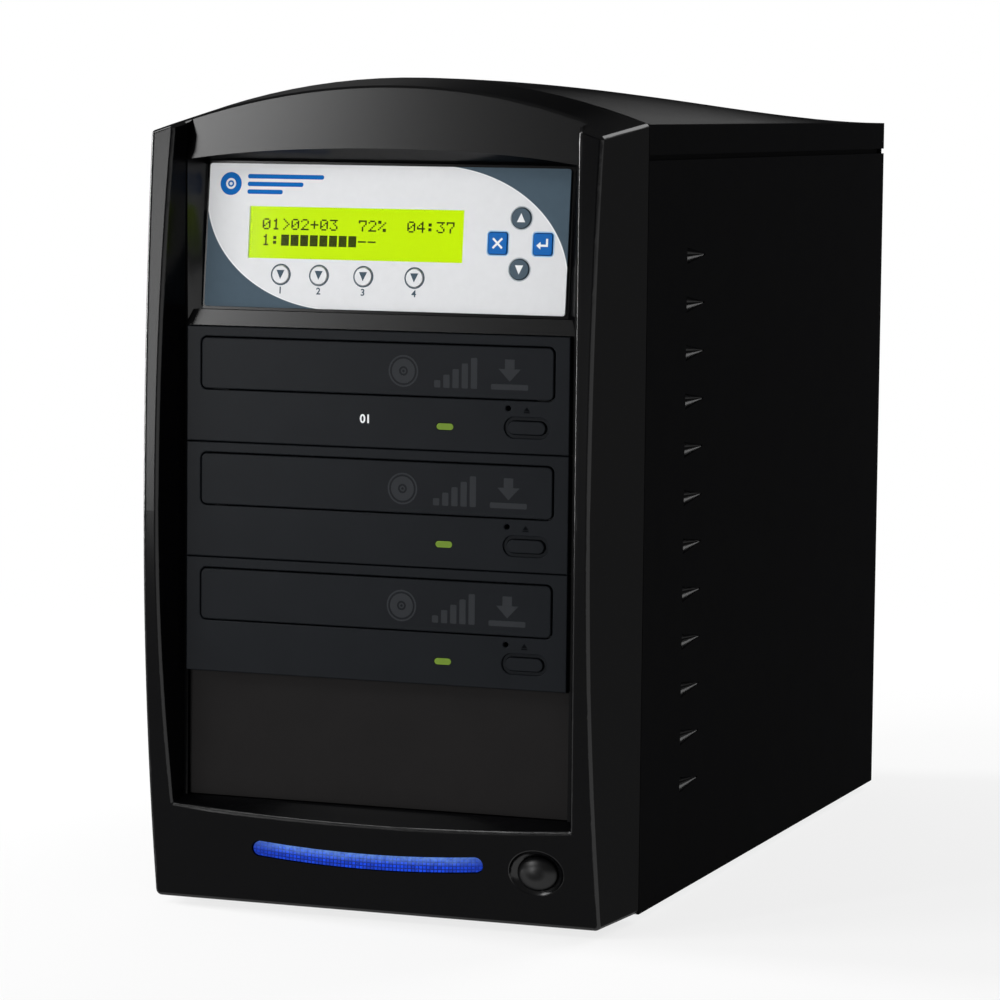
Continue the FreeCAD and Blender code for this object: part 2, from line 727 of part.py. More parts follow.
def edges_at(axis, size):
    """A way to pick the edges that lie on the plane at a place along an axis."""
    def on_plane(edge):
        return all(abs(getattr(corner, axis) - as_size(size).value) < FIT for corner in edge.Vertexes)

    return lambda shape: [edge for edge in shape.Edges if on_plane(edge)]


def bezel_section(y, inset):
    """The bezel's arched cross-section at a depth, drawn in by inset."""
    behind = (y - y_front) / s.bezel_depth
    half = waist_half + s.flare * behind - inset
    shoulder = z_shoulder - s.crown_drop * (1 - behind) - inset
    low = z_floor + inset
    r = s.bezel_corner
    return drawing("front", y, [
        (r - half, low), (half - r, low, r), (half, low + r), (half, shoulder, arch),
        (-half, shoulder), (-half, low + r, r),
    ])


def bow_depth(radius, z):
    """Where the bowed front is at a height."""
    return y_front + radius - root(radius * radius - (z - z_bow) * (z - z_bow))


def bowed_front():
    """The bow of the front, straight across the whole width."""
    up, down = s.bow_upper_radius, s.bow_lower_radius
    z_top = z_crown + s.spare
    y_top = bow_depth(up, z_top)
    y_bottom = bow_depth(down, z_floor)
    y_back = y_seam + s.spare
    reach = case_half + s.spare
    return prism("side", -reach, reach, [
        (y_bottom, z_floor), (y_back, z_floor), (y_back, z_top), (y_top, z_top, up),
        (y_front, z_bow, down),
    ])


def window_cutter():
    """The window between the pillars, with its sagging ledge over the chin."""
    y_start = y_front - s.spare
    half = pillar_inner + s.window_draft * s.spare / s.window_depth
    low = z_bay - s.ledge_fall
    high = z_crown + s.spare
    near = drawing("front", y_start, [
        (-half, low, arc_radius(half, s.ledge_sag)), (half, low), (half, high), (-half, high),
    ])
    far = drawing("front", y_window, rectangle(-window_half, window_half, z_bay, high))
    return loft(True, near, far)


def brow_cutter():
    """What the leaning face of the brow cuts away above the panel."""
    rise = z_crown + s.spare - z_brow
    slope = rise * sine(s.brow_lean) / cosine(s.brow_lean)
    y_start = y_window - s.spare
    return prism("side", -window_half, window_half, [
        (y_start, z_brow), (y_window, z_brow), (y_window + slope, z_brow + rise), (y_start, z_brow + rise),
    ])


def pocket_cutter():
    """The control panel's pocket, from the arched soffit back to the leaning seat."""
    lip = z_drives + s.bar_rise * (s.spare + s.bay_clearance) / s.panel_seat
    near = drawing("front", y_window - s.spare, [
        (-window_half, lip), (window_half, lip), (window_half, z_brow, arc_radius(window_half, s.brow_sag)),
        (-window_half, z_brow),
    ])
    far = drawing("panel", 0, rectangle(-pocket_half, pocket_half, -pocket_rise, pocket_rise))
    return loft(True, near, far)


def light_bar_outline(gap):
    """The sagging light bar, widened by gap."""
    half = s.bar_width / 2 - s.bar_height / 2
    r = s.bar_height / 2 + gap
    bend = arc_radius(half, s.bar_sag)
    left, right = s.bar_across - half, s.bar_across + half
    low, high = z_floor + s.bar_up - r, z_floor + s.bar_up + r
    return [(left, low, bend), (right, low, r), (right, high, -bend), (left, high, r)]


def panel_opening(grow):
    half = overlay_half - s.overlay_rim + grow
    rise = s.overlay_height / 2 - s.overlay_rim + grow
    return rectangle(-half, half, -rise, rise)


def bow_faces(shape):
    """The bezel's bowed front faces."""
    bows = (s.bow_upper_radius.value, s.bow_lower_radius.value)
    round_faces = [face for face in shape.Faces if face.Surface.TypeId == "Part::GeomCylinder"]
    return [face for face in round_faces if any(abs(face.Surface.Radius - bow) < FIT for bow in bows)]


def front_edges(shape):
    """The edges round the bezel's bowed faces and its crown, up to the seam."""
    bowed = [edge for face in bow_faces(shape) for edge in face.OuterWire.Edges]
    rim = [edge for edge in bowed if sum(edge.isSame(other) for other in bowed) == 1]
    crown = max(shape.Faces, key=lambda face: face.CenterOfMass.z)
    seam = edges_at("Y", y_seam)(crown)
    return rim + [edge for edge in crown.OuterWire.Edges if not any(edge.isSame(other) for other in seam)]


def well_edges(shape):
    """The rim of the power button's well, the opening in the bowed faces that is nearest to the button."""
    wires = [wire for face in bow_faces(shape) for wire in face.Wires if not wire.isSame(face.OuterWire)]
    return min(wires, key=lambda wire: abs(wire.CenterOfMass.x - power_across.value)).Edges


def seam_edges(shape):
    """The outer edges of the bezel's rear face."""
    rear = max(shape.Faces, key=lambda face: face.CenterOfMass.y)
    return rear.OuterWire.Edges


def front_bezel():
    """The moulded front: arched shell, bowed pillars, brow, panel pocket, bay opening and chin."""
    skin = loft(True, bezel_section(y_front - s.spare, as_size(0)), bezel_section(y_seam, as_size(0)))
    solid = common(skin, bowed_front())
    y_past = y_seam + s.spare
    hollow = loft(True, bezel_section(y_hollow, s.bezel_wall), bezel_section(y_past, s.bezel_wall))
    bay = block(-bay_half, bay_half, y_front, y_past, z_bay, z_drives + s.bay_clearance)
    chin_room = block(
        -pillar_inner, pillar_inner, y_chin, y_hollow + s.spare,
        z_floor + s.bezel_wall, z_bay - s.bezel_wall)
    seat = prism("panel", -s.panel_seat - s.spare, s.spare, panel_opening(0))
    room = prism("panel", -s.bezel_depth, -s.panel_seat, rectangle(
        -pocket_half, pocket_half, -pocket_rise, pocket_rise))
    slot = prism("front", y_front, y_chin + s.spare, light_bar_outline(s.bar_gap))
    x, z = power_across, z_floor + s.power_up
    half, rise = s.power_width / 2, s.power_height / 2
    y_well = bow_depth(s.bow_lower_radius, z)
    well = egg(x, y_well, z, half + s.power_well, s.power_well_depth, rise + s.power_well)
    hole = oval_rod(x, z, half + s.power_gap, rise + s.power_gap, y_front, y_chin + s.spare)
    shell = cut(solid, window_cutter(), brow_cutter(), pocket_cutter(), hollow, bay, chin_room, seat, room,
                slot, well, hole)
    posts = [
        rod("y", x + side * s.post_reach, y_chin, z, s.post_radius, y_board - y_chin)
        for side in (-1, 1)
    ]
    bezel = Piece("front_bezel", fuse(shell, *posts))
    bezel.soften(s.bezel_round, front_edges)
    bezel.soften(s.power_well_round, well_edges)
    bezel.soften(s.seam_round, seam_edges)


def power_group():
    """The power button with its retaining flange, and the switch board behind it."""
    x, z = power_across, z_floor + s.power_up
    half, rise = s.power_width / 2, s.power_height / 2
    y_tip = bow_depth(s.bow_lower_radius, z) - s.power_proud
    y_flange = y_power_flange
    stem = oval_rod(x, z, half, rise, y_tip - s.spare / 2, y_flange)
    y_middle = y_tip + s.power_dome * 2
    dome = egg(x, y_middle, z, half * DOME_SPREAD, s.power_dome * 2, rise * DOME_SPREAD)
    front = block(x - half * 2, x + half * 2, y_tip - s.spare, y_middle, z - rise * 2, z + rise * 2)
    flange = oval_rod(x, z, half + s.power_flange, rise + s.power_flange, y_flange, y_flange + s.power_flange)
    node("power_button", fuse(cut(stem, cut(front, dome)), flange))
    reach = s.post_reach + s.post_radius
    board = block(x - reach, x + reach, y_board, y_board + s.board_thick, z - rise, z + rise)
    switch = block(x - rise, x + rise, y_board - s.switch_body, y_board, z - rise, z + rise)
    node("power_switch", fuse(board, switch))


def light_group():
    """The light bar's lens, and the board of lamps behind it."""
    y_lens = bow_depth(s.bow_lower_radius, z_floor + s.bar_up + s.bar_height / 2) + s.bar_sink
    lens = Piece("light_bar")
    lens.pad("front", y_lens, y_chin, light_bar_outline(as_size(0)))
    half = s.bar_width / 2
    z = z_floor + s.bar_up
    board = block(
        s.bar_across - half, s.bar_across + half, y_chin, y_chin + s.board_thick,
        z - s.bar_height, z + s.bar_height)
    node("light_board", board)


def bay_blank():
    """The cover of the empty bay: a plate with a folded edge behind it."""
    y0 = y_drive + s.blank_setback
    y1 = y0 + s.blank_rim
    low, high = z_bay + s.face_gap / 2, z_stack - s.face_gap / 2
    wall = s.blank_thick
    plate = block(-drive_half, drive_half, y0, y1, low, high)
    room = block(wall - drive_half, drive_half - wall, y0 + wall, y1 + s.spare, low + wall, high - wall)
    node("bay_blank", cut(plate, room))


def cover_section(y, sag, inset):
    """The top cover's cross-section at a depth: side lips and an arched top."""
    half = case_half - inset
    top = z_shoulder - inset
    low = z_lip - s.spare if inset.value > 0 else z_lip
    return drawing("front", y, [
        (-half, low), (half, low), (half, top, arc_radius(half, sag)), (-half, top),
    ])


def top_cover():
    """The top cover: arched like the bezel at the seam and easing to a flat rear edge."""
    def shell(inset, over):
        sections = []
        for index in range(COVER_STATIONS):
            along = index / (COVER_STATIONS - 1)
            y = y_seam + s.body_length * along
            if over and index == 0:
                y = y - s.spare
            if over and index == COVER_STATIONS - 1:
                y = y + s.spare
            flat = s.sheet / 4
            sections.append(cover_section(y, flat + (s.arch_rise - flat) * (1 - along * along), inset))
        return loft(False, *sections)

    skin = cut(shell(as_size(0), False), shell(s.sheet, True))
    y0, y1 = y_seam + s.sheet * 2, y_rear_inner - s.sheet * 3
    outer = inner_half - s.skirt_inset + s.sheet
    web = block(outer - s.sheet, case_half, y0, y1, z_lip, z_lip + s.sheet)
    skirt = block(outer - s.sheet, outer, y0, y1, z_lip - s.skirt_height, z_lip + s.sheet)
    edge = fuse(web, skirt)
    node("top_cover", fuse(skin, edge, mirrored(edge)))


def flange_screw_heights():
    """Heights of the screws that hold a side panel's rear flange."""
    span = z_side - z_floor
    return [z_floor + span * part / (FLANGE_SCREW_COUNT + 1) for part in range(1, FLANGE_SCREW_COUNT + 1)]


def side_panel(name, side):
    """A steel side with drawn louvres and a folded rear edge; side is 1 on the right, -1 on the left."""
    def across(x0, x1):
        return (x0, x1) if side > 0 else (-x1, -x0)

    panel = Piece(name)
    panel.pad("side", across(inner_half, case_half)[0], across(inner_half, case_half)[1],
              rectangle(y_seam, y_rear, z_floor, z_side))
    edge = across(inner_half - flange_width, inner_half + s.sheet / 2)
    panel.pad("plan", z_floor + s.pan_height + s.spare, z_side, rectangle(
        *edge, y_rear_inner - s.sheet, y_rear_inner))
    dent = panel.half_cone("AdditiveCone", side, s.louvre_radius + s.louvre_wall, s.louvre_wall)
    hollow = panel.half_cone("SubtractiveCone", side, s.louvre_radius, s.louvre_tip)
    pattern = panel.body.newObject("PartDesign::LinearPattern", "louvres")
    pattern.Originals = [dent, hollow]
    pattern.Direction = (panel.axis("Z_Axis"), [""])
    pattern.Occurrences = LOUVRE_COUNT
    bind(pattern, "Length", s.louvre_pitch * (LOUVRE_COUNT - 1))
    panel.body.Tip = pattern
    x = side * (inner_half - flange_width / 2)
    panel.pocket("front", y_rear_inner - s.sheet * 2, y_rear_inner + s.spare, *[
        circle(x, z, s.screw_radius + s.screw_gap) for z in flange_screw_heights()
    ])


def base_pan():
    """The steel floor with folded edges at the front and sides, and its rubber feet."""
    high = z_floor + s.pan_height
    outer = block(-inner_half, inner_half, y_seam, y_rear_inner, z_floor, high)
    room = block(
        s.sheet - inner_half, inner_half - s.sheet, y_seam + s.sheet, y_rear_inner + s.spare,
        z_pan, high + s.spare)
    node("base_pan", cut(outer, room))
    feet = []
    for side in (-1, 1):
        for y in (y_seam + s.foot_inset, y_rear - s.foot_inset):
            foot = doc.addObject("Part::Cone", "foot")
            bind(foot, "Radius1", s.foot_radius - s.foot_taper)
            bind(foot, "Radius2", s.foot_radius)
            bind(foot, "Height", s.foot_height)
            place(foot, side * (case_half - s.foot_inset), y, 0)
            feet.append(foot)
    node("rubber_feet", group(*feet))


def supply_screw_places():
    """Screws through the rear panel into the power supply's corners."""
    across = s.psu_width / 2 - s.psu_rim / 2
    up = s.psu_height / 2 - s.psu_rim / 2
    return [(side * across, z_inlet + rise * up) for side in (-1, 1) for rise in (-1, 1)]


def fan_screw_places():
    reach = s.fan_hole_reach
    return [(side * reach, z_fan + rise * reach) for side in (-1, 1) for rise in (-1, 1)]


def flange_screw_places():
    x = inner_half - flange_width / 2
    return [(side * x, z) for side in (-1, 1) for z in flange_screw_heights()]


def rear_panel():
    """The rear panel: openings for the power supply and fan, a row of vents and screw holes."""
    panel = Piece("rear_panel")
    z_top = z_shoulder - s.sheet
    panel.pad("front", y_rear_inner, y_rear, rectangle(-inner_half, inner_half, z_floor, z_top))
    half = s.psu_width / 2 - s.psu_rim
    rise = s.psu_height / 2 - s.psu_rim
    y0, y1 = y_rear_inner - s.spare, y_rear + s.spare
    holes = [
        circle(x, z, s.screw_radius + s.screw_gap)
        for x, z in supply_screw_places() + fan_screw_places() + flange_screw_places()
    ]
    panel.pocket("front", y0, y1, rectangle(-half, half, z_inlet - rise, z_inlet + rise),
                 circle(0, z_fan, s.fan_bore_radius), *holes)
    z_vent = (z_fan + s.fan_size / 2 + z_top) / 2
    vents = []
    for index in range(REAR_VENT_COUNT):
        x = s.vent_pitch * (index - (REAR_VENT_COUNT - 1) / 2) * 2
        vents.append(stadium_upright(x, z_vent, s.vent_width, s.vent_length))
    panel.pocket("front", y0, y1, *vents)


def screw(x, y, z, head):
    """A pan-head screw driven towards -y, its head standing on the plane y."""
    return fuse(rod("y", x, y, z, s.head_radius, head),
                rod("y", x, y - s.sheet * 2, z, s.screw_radius, s.sheet * 2))


def case_screws():
    heads = [screw(x, y_rear, z, s.head_height) for x, z in supply_screw_places() + flange_screw_places()]
    y_guard = y_rear + s.guard_wire
    heads += [screw(x, y_guard, z, s.rear_stand - s.guard_wire) for x, z in fan_screw_places()]
    node("case_screws", group(*heads))


def drive_bottom(index):
    return z_drives - s.drive_pitch * (index + 1) + s.face_gap


def drive_screw_places(index):
    """Side screws of one drive: along the case and up."""
    y = y_chassis + s.drive_screw_setback
    z = drive_bottom(index) + s.bay_clearance + s.drive_screw_up
    return [(y, z), (y + s.drive_screw_pitch, z)]


def drive_cage():
    """The folded steel cage: two walls, a roof and outward feet, with the controller's posts."""
    y0, y1 = y_seam + s.sheet, y_seam + s.cage_length
    low, step = z_pan, z_pan + s.sheet
    foot = cage_outer + s.cage_foot
    hat = prism("front", y0, y1, [
        (-foot, low), (-cage_inner, low), (-cage_inner, z_cage), (cage_inner, z_cage), (cage_inner, low),
        (foot, low), (foot, step), (cage_outer, step), (cage_outer, z_cage + s.sheet),
        (-cage_outer, z_cage + s.sheet), (-cage_outer, step), (-foot, step),
    ])
    ear = block(cage_outer - s.sheet / 2, inner_half - s.skirt_inset - s.sheet, y0, y0 + s.sheet,
                z_floor + s.pan_height + s.spare, z_cage)
    posts = []
    for x, y in controller_posts():
        posts.append(rod("z", x, y, z_cage + s.sheet, s.standoff_radius, s.standoff_height))
    holes = []
    for index in range(DRIVE_COUNT):
        for y, z in drive_screw_places(index):
            x = -cage_outer - s.spare
            holes.append(rod("x", x, y, z, s.screw_radius + s.screw_gap, (cage_outer + s.spare) * 2))
    node("drive_cage", cut(fuse(hat, ear, mirrored(ear), *posts), *holes))


def controller_posts():
    half = s.controller_width / 2 - s.standoff_radius * 2
    near = y_seam + s.cage_length - s.controller_length
    ends = (near + s.standoff_radius * 2, near + s.controller_length - s.standoff_radius * 2)
    return [(side * half, y) for side in (-1, 1) for y in ends]


def controller_board():
    """The copy controller: a board with its processor, memory and a row of drive sockets."""
    z0 = z_cage + s.sheet + s.standoff_height
    z1 = z0 + s.board_thick
    half = s.controller_width / 2
    y1 = y_seam + s.cage_length
    y0 = y1 - s.controller_length
    board = block(-half, half, y0, y1, z0, z1)
    chip = s.processor_size / 2
    y_chip = y0 + s.chip_setback
    processor = block(-chip, chip, y_chip, y_chip + s.processor_size, z1, z1 + s.chip_height)
    x_memory = chip + s.chip_gap
    memory = block(x_memory, x_memory + s.memory_size, y_chip, y_chip + s.memory_size, z1, z1 + s.chip_height)
    sockets = []
    y_socket = y1 - s.data_socket_depth * 2
    for index in range(DRIVE_COUNT):
        x = s.data_socket_pitch * (index - (DRIVE_COUNT - 1) / 2)
        sockets.append(block(
            x - s.data_socket_width / 2, x + s.data_socket_width / 2,
            y_socket, y_socket + s.data_socket_depth, z1, z1 + s.data_socket_height))
    node("controller_board", fuse(board, processor, memory, *sockets))


def lcd_outline(border, edge):
    """The display window, widened by border at the sides and by edge above and below."""
    rise = s.lcd_height / 2 + edge
    return rectangle(lcd_low_x - border, lcd_high_x + border, s.lcd_up - rise, s.lcd_up + rise)


def key_outlines(grow):
    """Every key of the control panel by name, widened by grow."""
    across, up = overlay_half - s.key_cross_inset, s.key_cross_up
    half, rise = s.square_key_width / 2 + grow, s.square_key_height / 2 + grow
    corner = s.square_key_corner + grow
    left, right = across - s.square_reach, across + s.square_reach
    keys = {
        "key_up": circle(across, up + s.arrow_reach, s.round_key / 2 + grow),
        "key_down": circle(across, up - s.arrow_reach, s.round_key / 2 + grow),
        "key_escape": rounded(left - half, left + half, up - rise, up + rise, corner),
        "key_enter": rounded(right - half, right + half, up - rise, up + rise, corner),
    }
    insets = (s.small_key_1_inset, s.small_key_2_inset, s.small_key_3_inset, s.small_key_4_inset)
    for index, inset in enumerate(insets, start=1):
        keys[f"shortcut_key_{index}"] = circle(
            inset - overlay_half, s.small_keys_up, s.small_key / 2 + grow)
    return keys


def control_panel():
    """The overlay, the display behind its window, the keys and the board that carries them."""
    top = s.overlay_thick
    half, rise = overlay_half, s.overlay_height / 2
    overlay = Piece("panel_overlay")
    overlay.pad("plan", 0, top, rounded(-half, half, -rise, rise, s.overlay_corner))
    overlay.pocket("plan", -s.spare, top + s.spare, lcd_outline(0, 0), *key_outlines(s.key_gap).values())
    window = Piece("lcd_window")
    window.pad("plan", 0, top, lcd_outline(0, 0))
    module = Piece("lcd_module")
    z_module = -s.key_rest_gap
    module.pad("plan", -s.panel_seat, z_module, lcd_outline(s.lcd_border, s.lcd_edge))
    module.pocket("plan", z_module - s.overlay_thick, z_module + s.spare, lcd_outline(0, 0))
    board = Piece("keypad_board")
    board.pad("plan", -s.panel_seat - s.board_thick, -s.panel_seat, panel_opening(s.overlay_gap))
    z_switch = s.switch_height - s.panel_seat
    small = -s.square_key_corner / 2
    board.pad("plan", -s.panel_seat, z_switch, *key_outlines(small).values())
    for piece in (overlay, window, module, board):
        lean(piece.body)
    z_key = z_switch + s.key_rest_gap + s.key_travel
    shown = key_outlines(as_size(0))
    wide = key_outlines(s.key_flange)
    for name, outline in shown.items():
        key = Piece(name)
        key.pad("plan", z_key, -s.key_gap, wide[name])
        key.pad("plan", -s.key_gap, top + s.key_proud, outline)
        key.soften(s.key_round, edges_at("Z", top + s.key_proud))
        lean(key.body)


def drive_face(index):
    """A drive's face: door opening, eject button with its recess, light and emergency hole."""
    low, high = drive_bottom(index), z_drives - s.drive_pitch * index
    face = Piece(f"drive_{index + 1}_face")
    y0, y1 = y_drive, y_drive + s.face_depth
    rim = s.face_wall
    face.pad("front", y0, y1, rectangle(-drive_half, drive_half, low, high))
    face.pocket("front", y0 + rim, y1 + s.spare, rectangle(
        rim - drive_half, drive_half - rim, low + rim, high - rim))
    across, up = eject_across, low + s.eject_up
    rim_width = (s.eject_rim + s.eject_gap) * 2
    face.pocket("front", y0 - s.spare, y0 + s.eject_sink, stadium(
        across, up, s.eject_width + rim_width, s.eject_height + rim_width))
    gap = s.eject_gap * 2
    door = door_outline(index, s.door_gap)
    face.pocket("front", y0 - s.spare, y1, door,
                stadium(across, up, s.eject_width + gap, s.eject_height + gap),
                stadium(lamp_across, low + s.lamp_up, s.lamp_width, s.lamp_height),
                circle(drive_half - s.pinhole_inset, low + s.pinhole_up, s.pinhole / 2))
    face.soften(s.drive_round, edges_at("Y", y0))


def door_outline(index, grow):
    high = z_drives - s.drive_pitch * index - s.door_drop + grow
    low = high - s.door_height - grow * 2
    half = door_half + grow
    return rounded(-half, half, low, high, s.door_corner + grow)


def drive_buttons(index):
    """A drive's light and its eject button."""
    low = drive_bottom(index)
    lamp = Piece(f"drive_{index + 1}_light")
    lamp.pad("front", y_drive, y_drive + s.face_depth, stadium(
        lamp_across, low + s.lamp_up, s.lamp_width, s.lamp_height))
    button = Piece(f"drive_{index + 1}_eject_button")
    button.pad("front", y_drive - s.door_proud, y_eject, stadium(
        eject_across, low + s.eject_up, s.eject_width, s.eject_height))
    button.soften(s.drive_round, edges_at("Y", y_drive - s.door_proud))


def drive_chassis(index):
    """A drive's steel box, open at the front."""
    low = drive_bottom(index) + s.bay_clearance
    high = z_drives - s.drive_pitch * index - s.bay_clearance
    half = chassis_half
    y1 = y_chassis + s.drive_length
    skin = s.drive_skin
    outer = block(-half, half, y_chassis, y1, low, high)
    room = block(skin - half, half - skin, y_chassis - s.spare, y1 - skin, low + skin, high - skin)
    holes = []
    for y, z in drive_screw_places(index):
        holes.append(rod("x", -half - s.spare, y, z, s.screw_radius + s.screw_gap, (half + s.spare) * 2))
    node(f"drive_{index + 1}_chassis", cut(outer, room, *holes))


def drive_deck(index):
    """The deck in a drive: plate, tray rails, spindle bearing, pick-up sled and the eject switch."""
    z_tray = z_drives - s.drive_pitch * index - s.tray_drop - s.tray_height
    z1 = z_tray - s.deck_drop
    z0 = z1 - s.deck_thick
    half = chassis_half - s.drive_skin
    y1 = y_chassis + s.tray_length
    y0 = y_eject_switch
    plate = block(-half, half, y0, y1, z0, z1)
    edge = tray_half
    rail = block(edge - s.rail_width, edge, y0, y1, z1, z_tray - s.tray_gap)
    guide = block(edge + s.tray_gap, half, y0, y1, z1, z_tray + s.tray_height / 2)
    boss = rod("z", 0, y_disc, z1, s.hub_radius - s.hub_nose, s.deck_thick)
    sled_half = s.tray_slot / 2
    y_sled = y_disc + s.hub_radius + s.rail_width
    sled = block(-sled_half, sled_half, y_sled, y_sled + s.tray_slot, z1, z1 + s.deck_thick * 2)
    lens = rod("z", 0, y_sled + sled_half, z1 + s.deck_thick * 2, s.hub_nose_radius / 2, s.deck_thick / 2)
    low = drive_bottom(index) + s.bay_clearance + s.drive_skin
    x0 = eject_across - s.eject_width
    board = block(x0, half, y0 + s.board_thick, y0 + s.board_thick * 2, low, z0)
    z_button = drive_bottom(index) + s.eject_up
    switch = block(
        eject_across - s.eject_height / 2, eject_across + s.eject_height / 2,
        y0, y0 + s.board_thick,
        z_button - s.eject_height / 2, z0)
    hole = rod("z", 0, y_disc, z0 - s.spare, s.shaft_radius + s.shaft_gap, s.deck_thick * 3)
    solid = fuse(plate, rail, mirrored(rail), guide, mirrored(guide), boss, sled, lens, board, switch)
    node(f"drive_{index + 1}_deck", cut(solid, hole))


def drive_spindle(index):
    """The spindle: shaft, disc table and centring nose, under the tray."""
    z_tray = z_drives - s.drive_pitch * index - s.tray_drop - s.tray_height
    z_deck = z_tray - s.deck_drop
    base = s.deck_thick + s.tray_gap
    top = base + s.hub_thick
    spindle = Piece(f"drive_{index + 1}_spindle")
    spindle.turn([
        (0, -s.deck_thick), (s.shaft_radius, -s.deck_thick), (s.shaft_radius, base), (s.hub_radius, base),
        (s.hub_radius, top), (s.hub_nose_radius, top), (s.hub_nose_radius - s.hub_nose / 2, top + s.hub_nose),
        (0, top + s.hub_nose),
    ])
    place(spindle.body, 0, y_disc, z_deck)


def drive_tray(index):
    """The disc tray with its two wells and spindle slot, and the door clipped to its front."""
    high = z_drives - s.drive_pitch * index - s.tray_drop
    low = high - s.tray_height
    half = tray_half
    y1 = y_tray + s.tray_length
    r = s.tray_corner
    tray = Piece(f"drive_{index + 1}_tray")
    tray.pad("plan", low, high, [
        (-half, y_tray), (half, y_tray), (half, y1 - r, r), (half - r, y1), (r - half, y1, r),
        (-half, y1 - r),
    ])
    z_well = high - s.disc_well_depth
    tray.pocket("plan", z_well, high + s.spare, circle(0, y_disc, tray_half - s.tray_rim))
    tray.pocket("plan", z_well - s.small_well_depth, z_well + s.spare, circle(
        0, y_disc, s.small_disc_well / 2))
    slot_middle = y_disc - s.tray_slot / 2 + s.tray_slot_length / 2
    tray.pocket("plan", low - s.spare, high, stadium_upright(0, slot_middle, s.tray_slot, s.tray_slot_length))
    door = Piece(f"drive_{index + 1}_tray_door")
    door.pad("front", y_drive - s.door_proud, y_tray, door_outline(index, as_size(0)))
    door.soften(s.drive_round, edges_at("Y", y_drive - s.door_proud))


def drive_screws():
    """Side screws that hold the drives in the cage."""
    screws = []
    for index in range(DRIVE_COUNT):
        for y, z in drive_screw_places(index):
            head = rod("x", cage_outer, y, z, s.head_radius, s.head_height)
            shank = rod("x", cage_outer - s.sheet * 2, y, z, s.screw_radius, s.sheet * 2)
            one = fuse(head, shank)
            screws += [one, mirrored(one)]
    node("drive_screws", group(*screws))


def power_supply():
    """The power supply: a vented sheet-steel box with openings for its inlet and switch, and its board."""
    half = s.psu_width / 2
    skin = s.sheet
    supply = Piece("psu_case")
    supply.pad("front", y_supply, y_rear_inner, rectangle(-half, half, z_pan, z_supply))
    supply.pocket("front", y_supply + skin, y_rear_inner - skin, rectangle(
        skin - half, half - skin, z_pan + skin, z_supply - skin))
    gap = s.rocker_gap
    openings = [rectangle(*inlet_span(gap)), rectangle(*rocker_span(s.rocker_frame + gap))]
    for index in range(SUPPLY_VENT_COUNT):
        x = s.vent_pitch * (index + 1) + s.rocker_width / 2
        openings.append(stadium_upright(x, z_inlet, s.vent_width, s.vent_length))
    for x, z in supply_screw_places():
        openings.append(circle(x, z, s.screw_radius + s.screw_gap))
    supply.pocket("front", y_rear_inner - skin - s.spare, y_rear_inner + s.spare, *openings)

    z0 = z_pan + skin
    z1 = z0 + s.standoff_height
    z2 = z1 + s.board_thick
    reach = half - s.standoff_height * 2
    y0 = y_supply + s.standoff_height * 2
    y1 = y_rear_inner - s.inlet_depth - s.standoff_height
    inset = s.standoff_radius * 2
    parts = [block(-reach, reach, y0, y1, z1, z2)]
    for side in (-1, 1):
        for y in (y0 + inset, y1 - inset):
            parts.append(rod("z", side * (reach - inset), y, z0, s.standoff_radius, s.standoff_height))
    y_coil = y0 + s.coil_setback
    core = s.coil_size / 2
    parts.append(block(-core, core, y_coil, y_coil + s.coil_size, z2, z2 + s.coil_size))
    for side in (-1, 1):
        x = side * s.coil_size
        parts.append(block(x - skin, x + skin, y0 + inset, y1 - inset, z2, z2 + s.fin_height))
        parts.append(rod("z", side * s.can_across, y_coil, z2, s.can_radius, s.coil_size))
    node("psu_board", fuse(*parts))


def inlet_span(grow):
    half, rise = s.inlet_width / 2 + grow, s.inlet_height / 2 + grow
    return inlet_across - half, inlet_across + half, z_inlet - rise, z_inlet + rise


def rocker_span(grow):
    """The room that the rocker swings in, widened by grow."""
    half = s.rocker_width / 2 + s.rocker_gap + grow
    rise = s.rocker_height / 2 + s.rocker_swing + grow
    return rocker_across - half, rocker_across + half, z_inlet - rise, z_inlet + rise


def power_inlet():
    """The mains inlet: flange, body, socket with two cut corners and three blades."""
    inlet = Piece("psu_inlet")
    y0 = y_rear_inner - s.inlet_depth
    y1 = y_rear_inner + s.inlet_wall
    inlet.pad("front", y0, y_rear_inner, rectangle(*inlet_span(0)))
    inlet.pad("front", y_rear_inner, y1, rounded(*inlet_span(s.inlet_flange), s.inlet_flange))
    left, right, low, high = inlet_span(-s.inlet_wall)
    corner = (high - low) / 3
    inlet.pocket("front", y1 - s.socket_depth, y1 + s.spare, [
        (left, low), (right, low), (right, high - corner), (right - corner, high), (left + corner, high),
        (left, high - corner),
    ])
    thick, wide = s.blade_thick / 2, s.blade_width / 2
    reach = s.blade_reach
    y_blade = y1 - s.socket_depth
    for across, up in ((-reach, 0), (0, s.blade_rise), (reach, 0)):
        x = inlet_across + across
        z = z_inlet + up - thick
        inlet.pad("front", y_blade - s.spare / 2, y1 - s.inlet_wall, rectangle(
            x - thick, x + thick, z - wide, z + wide))


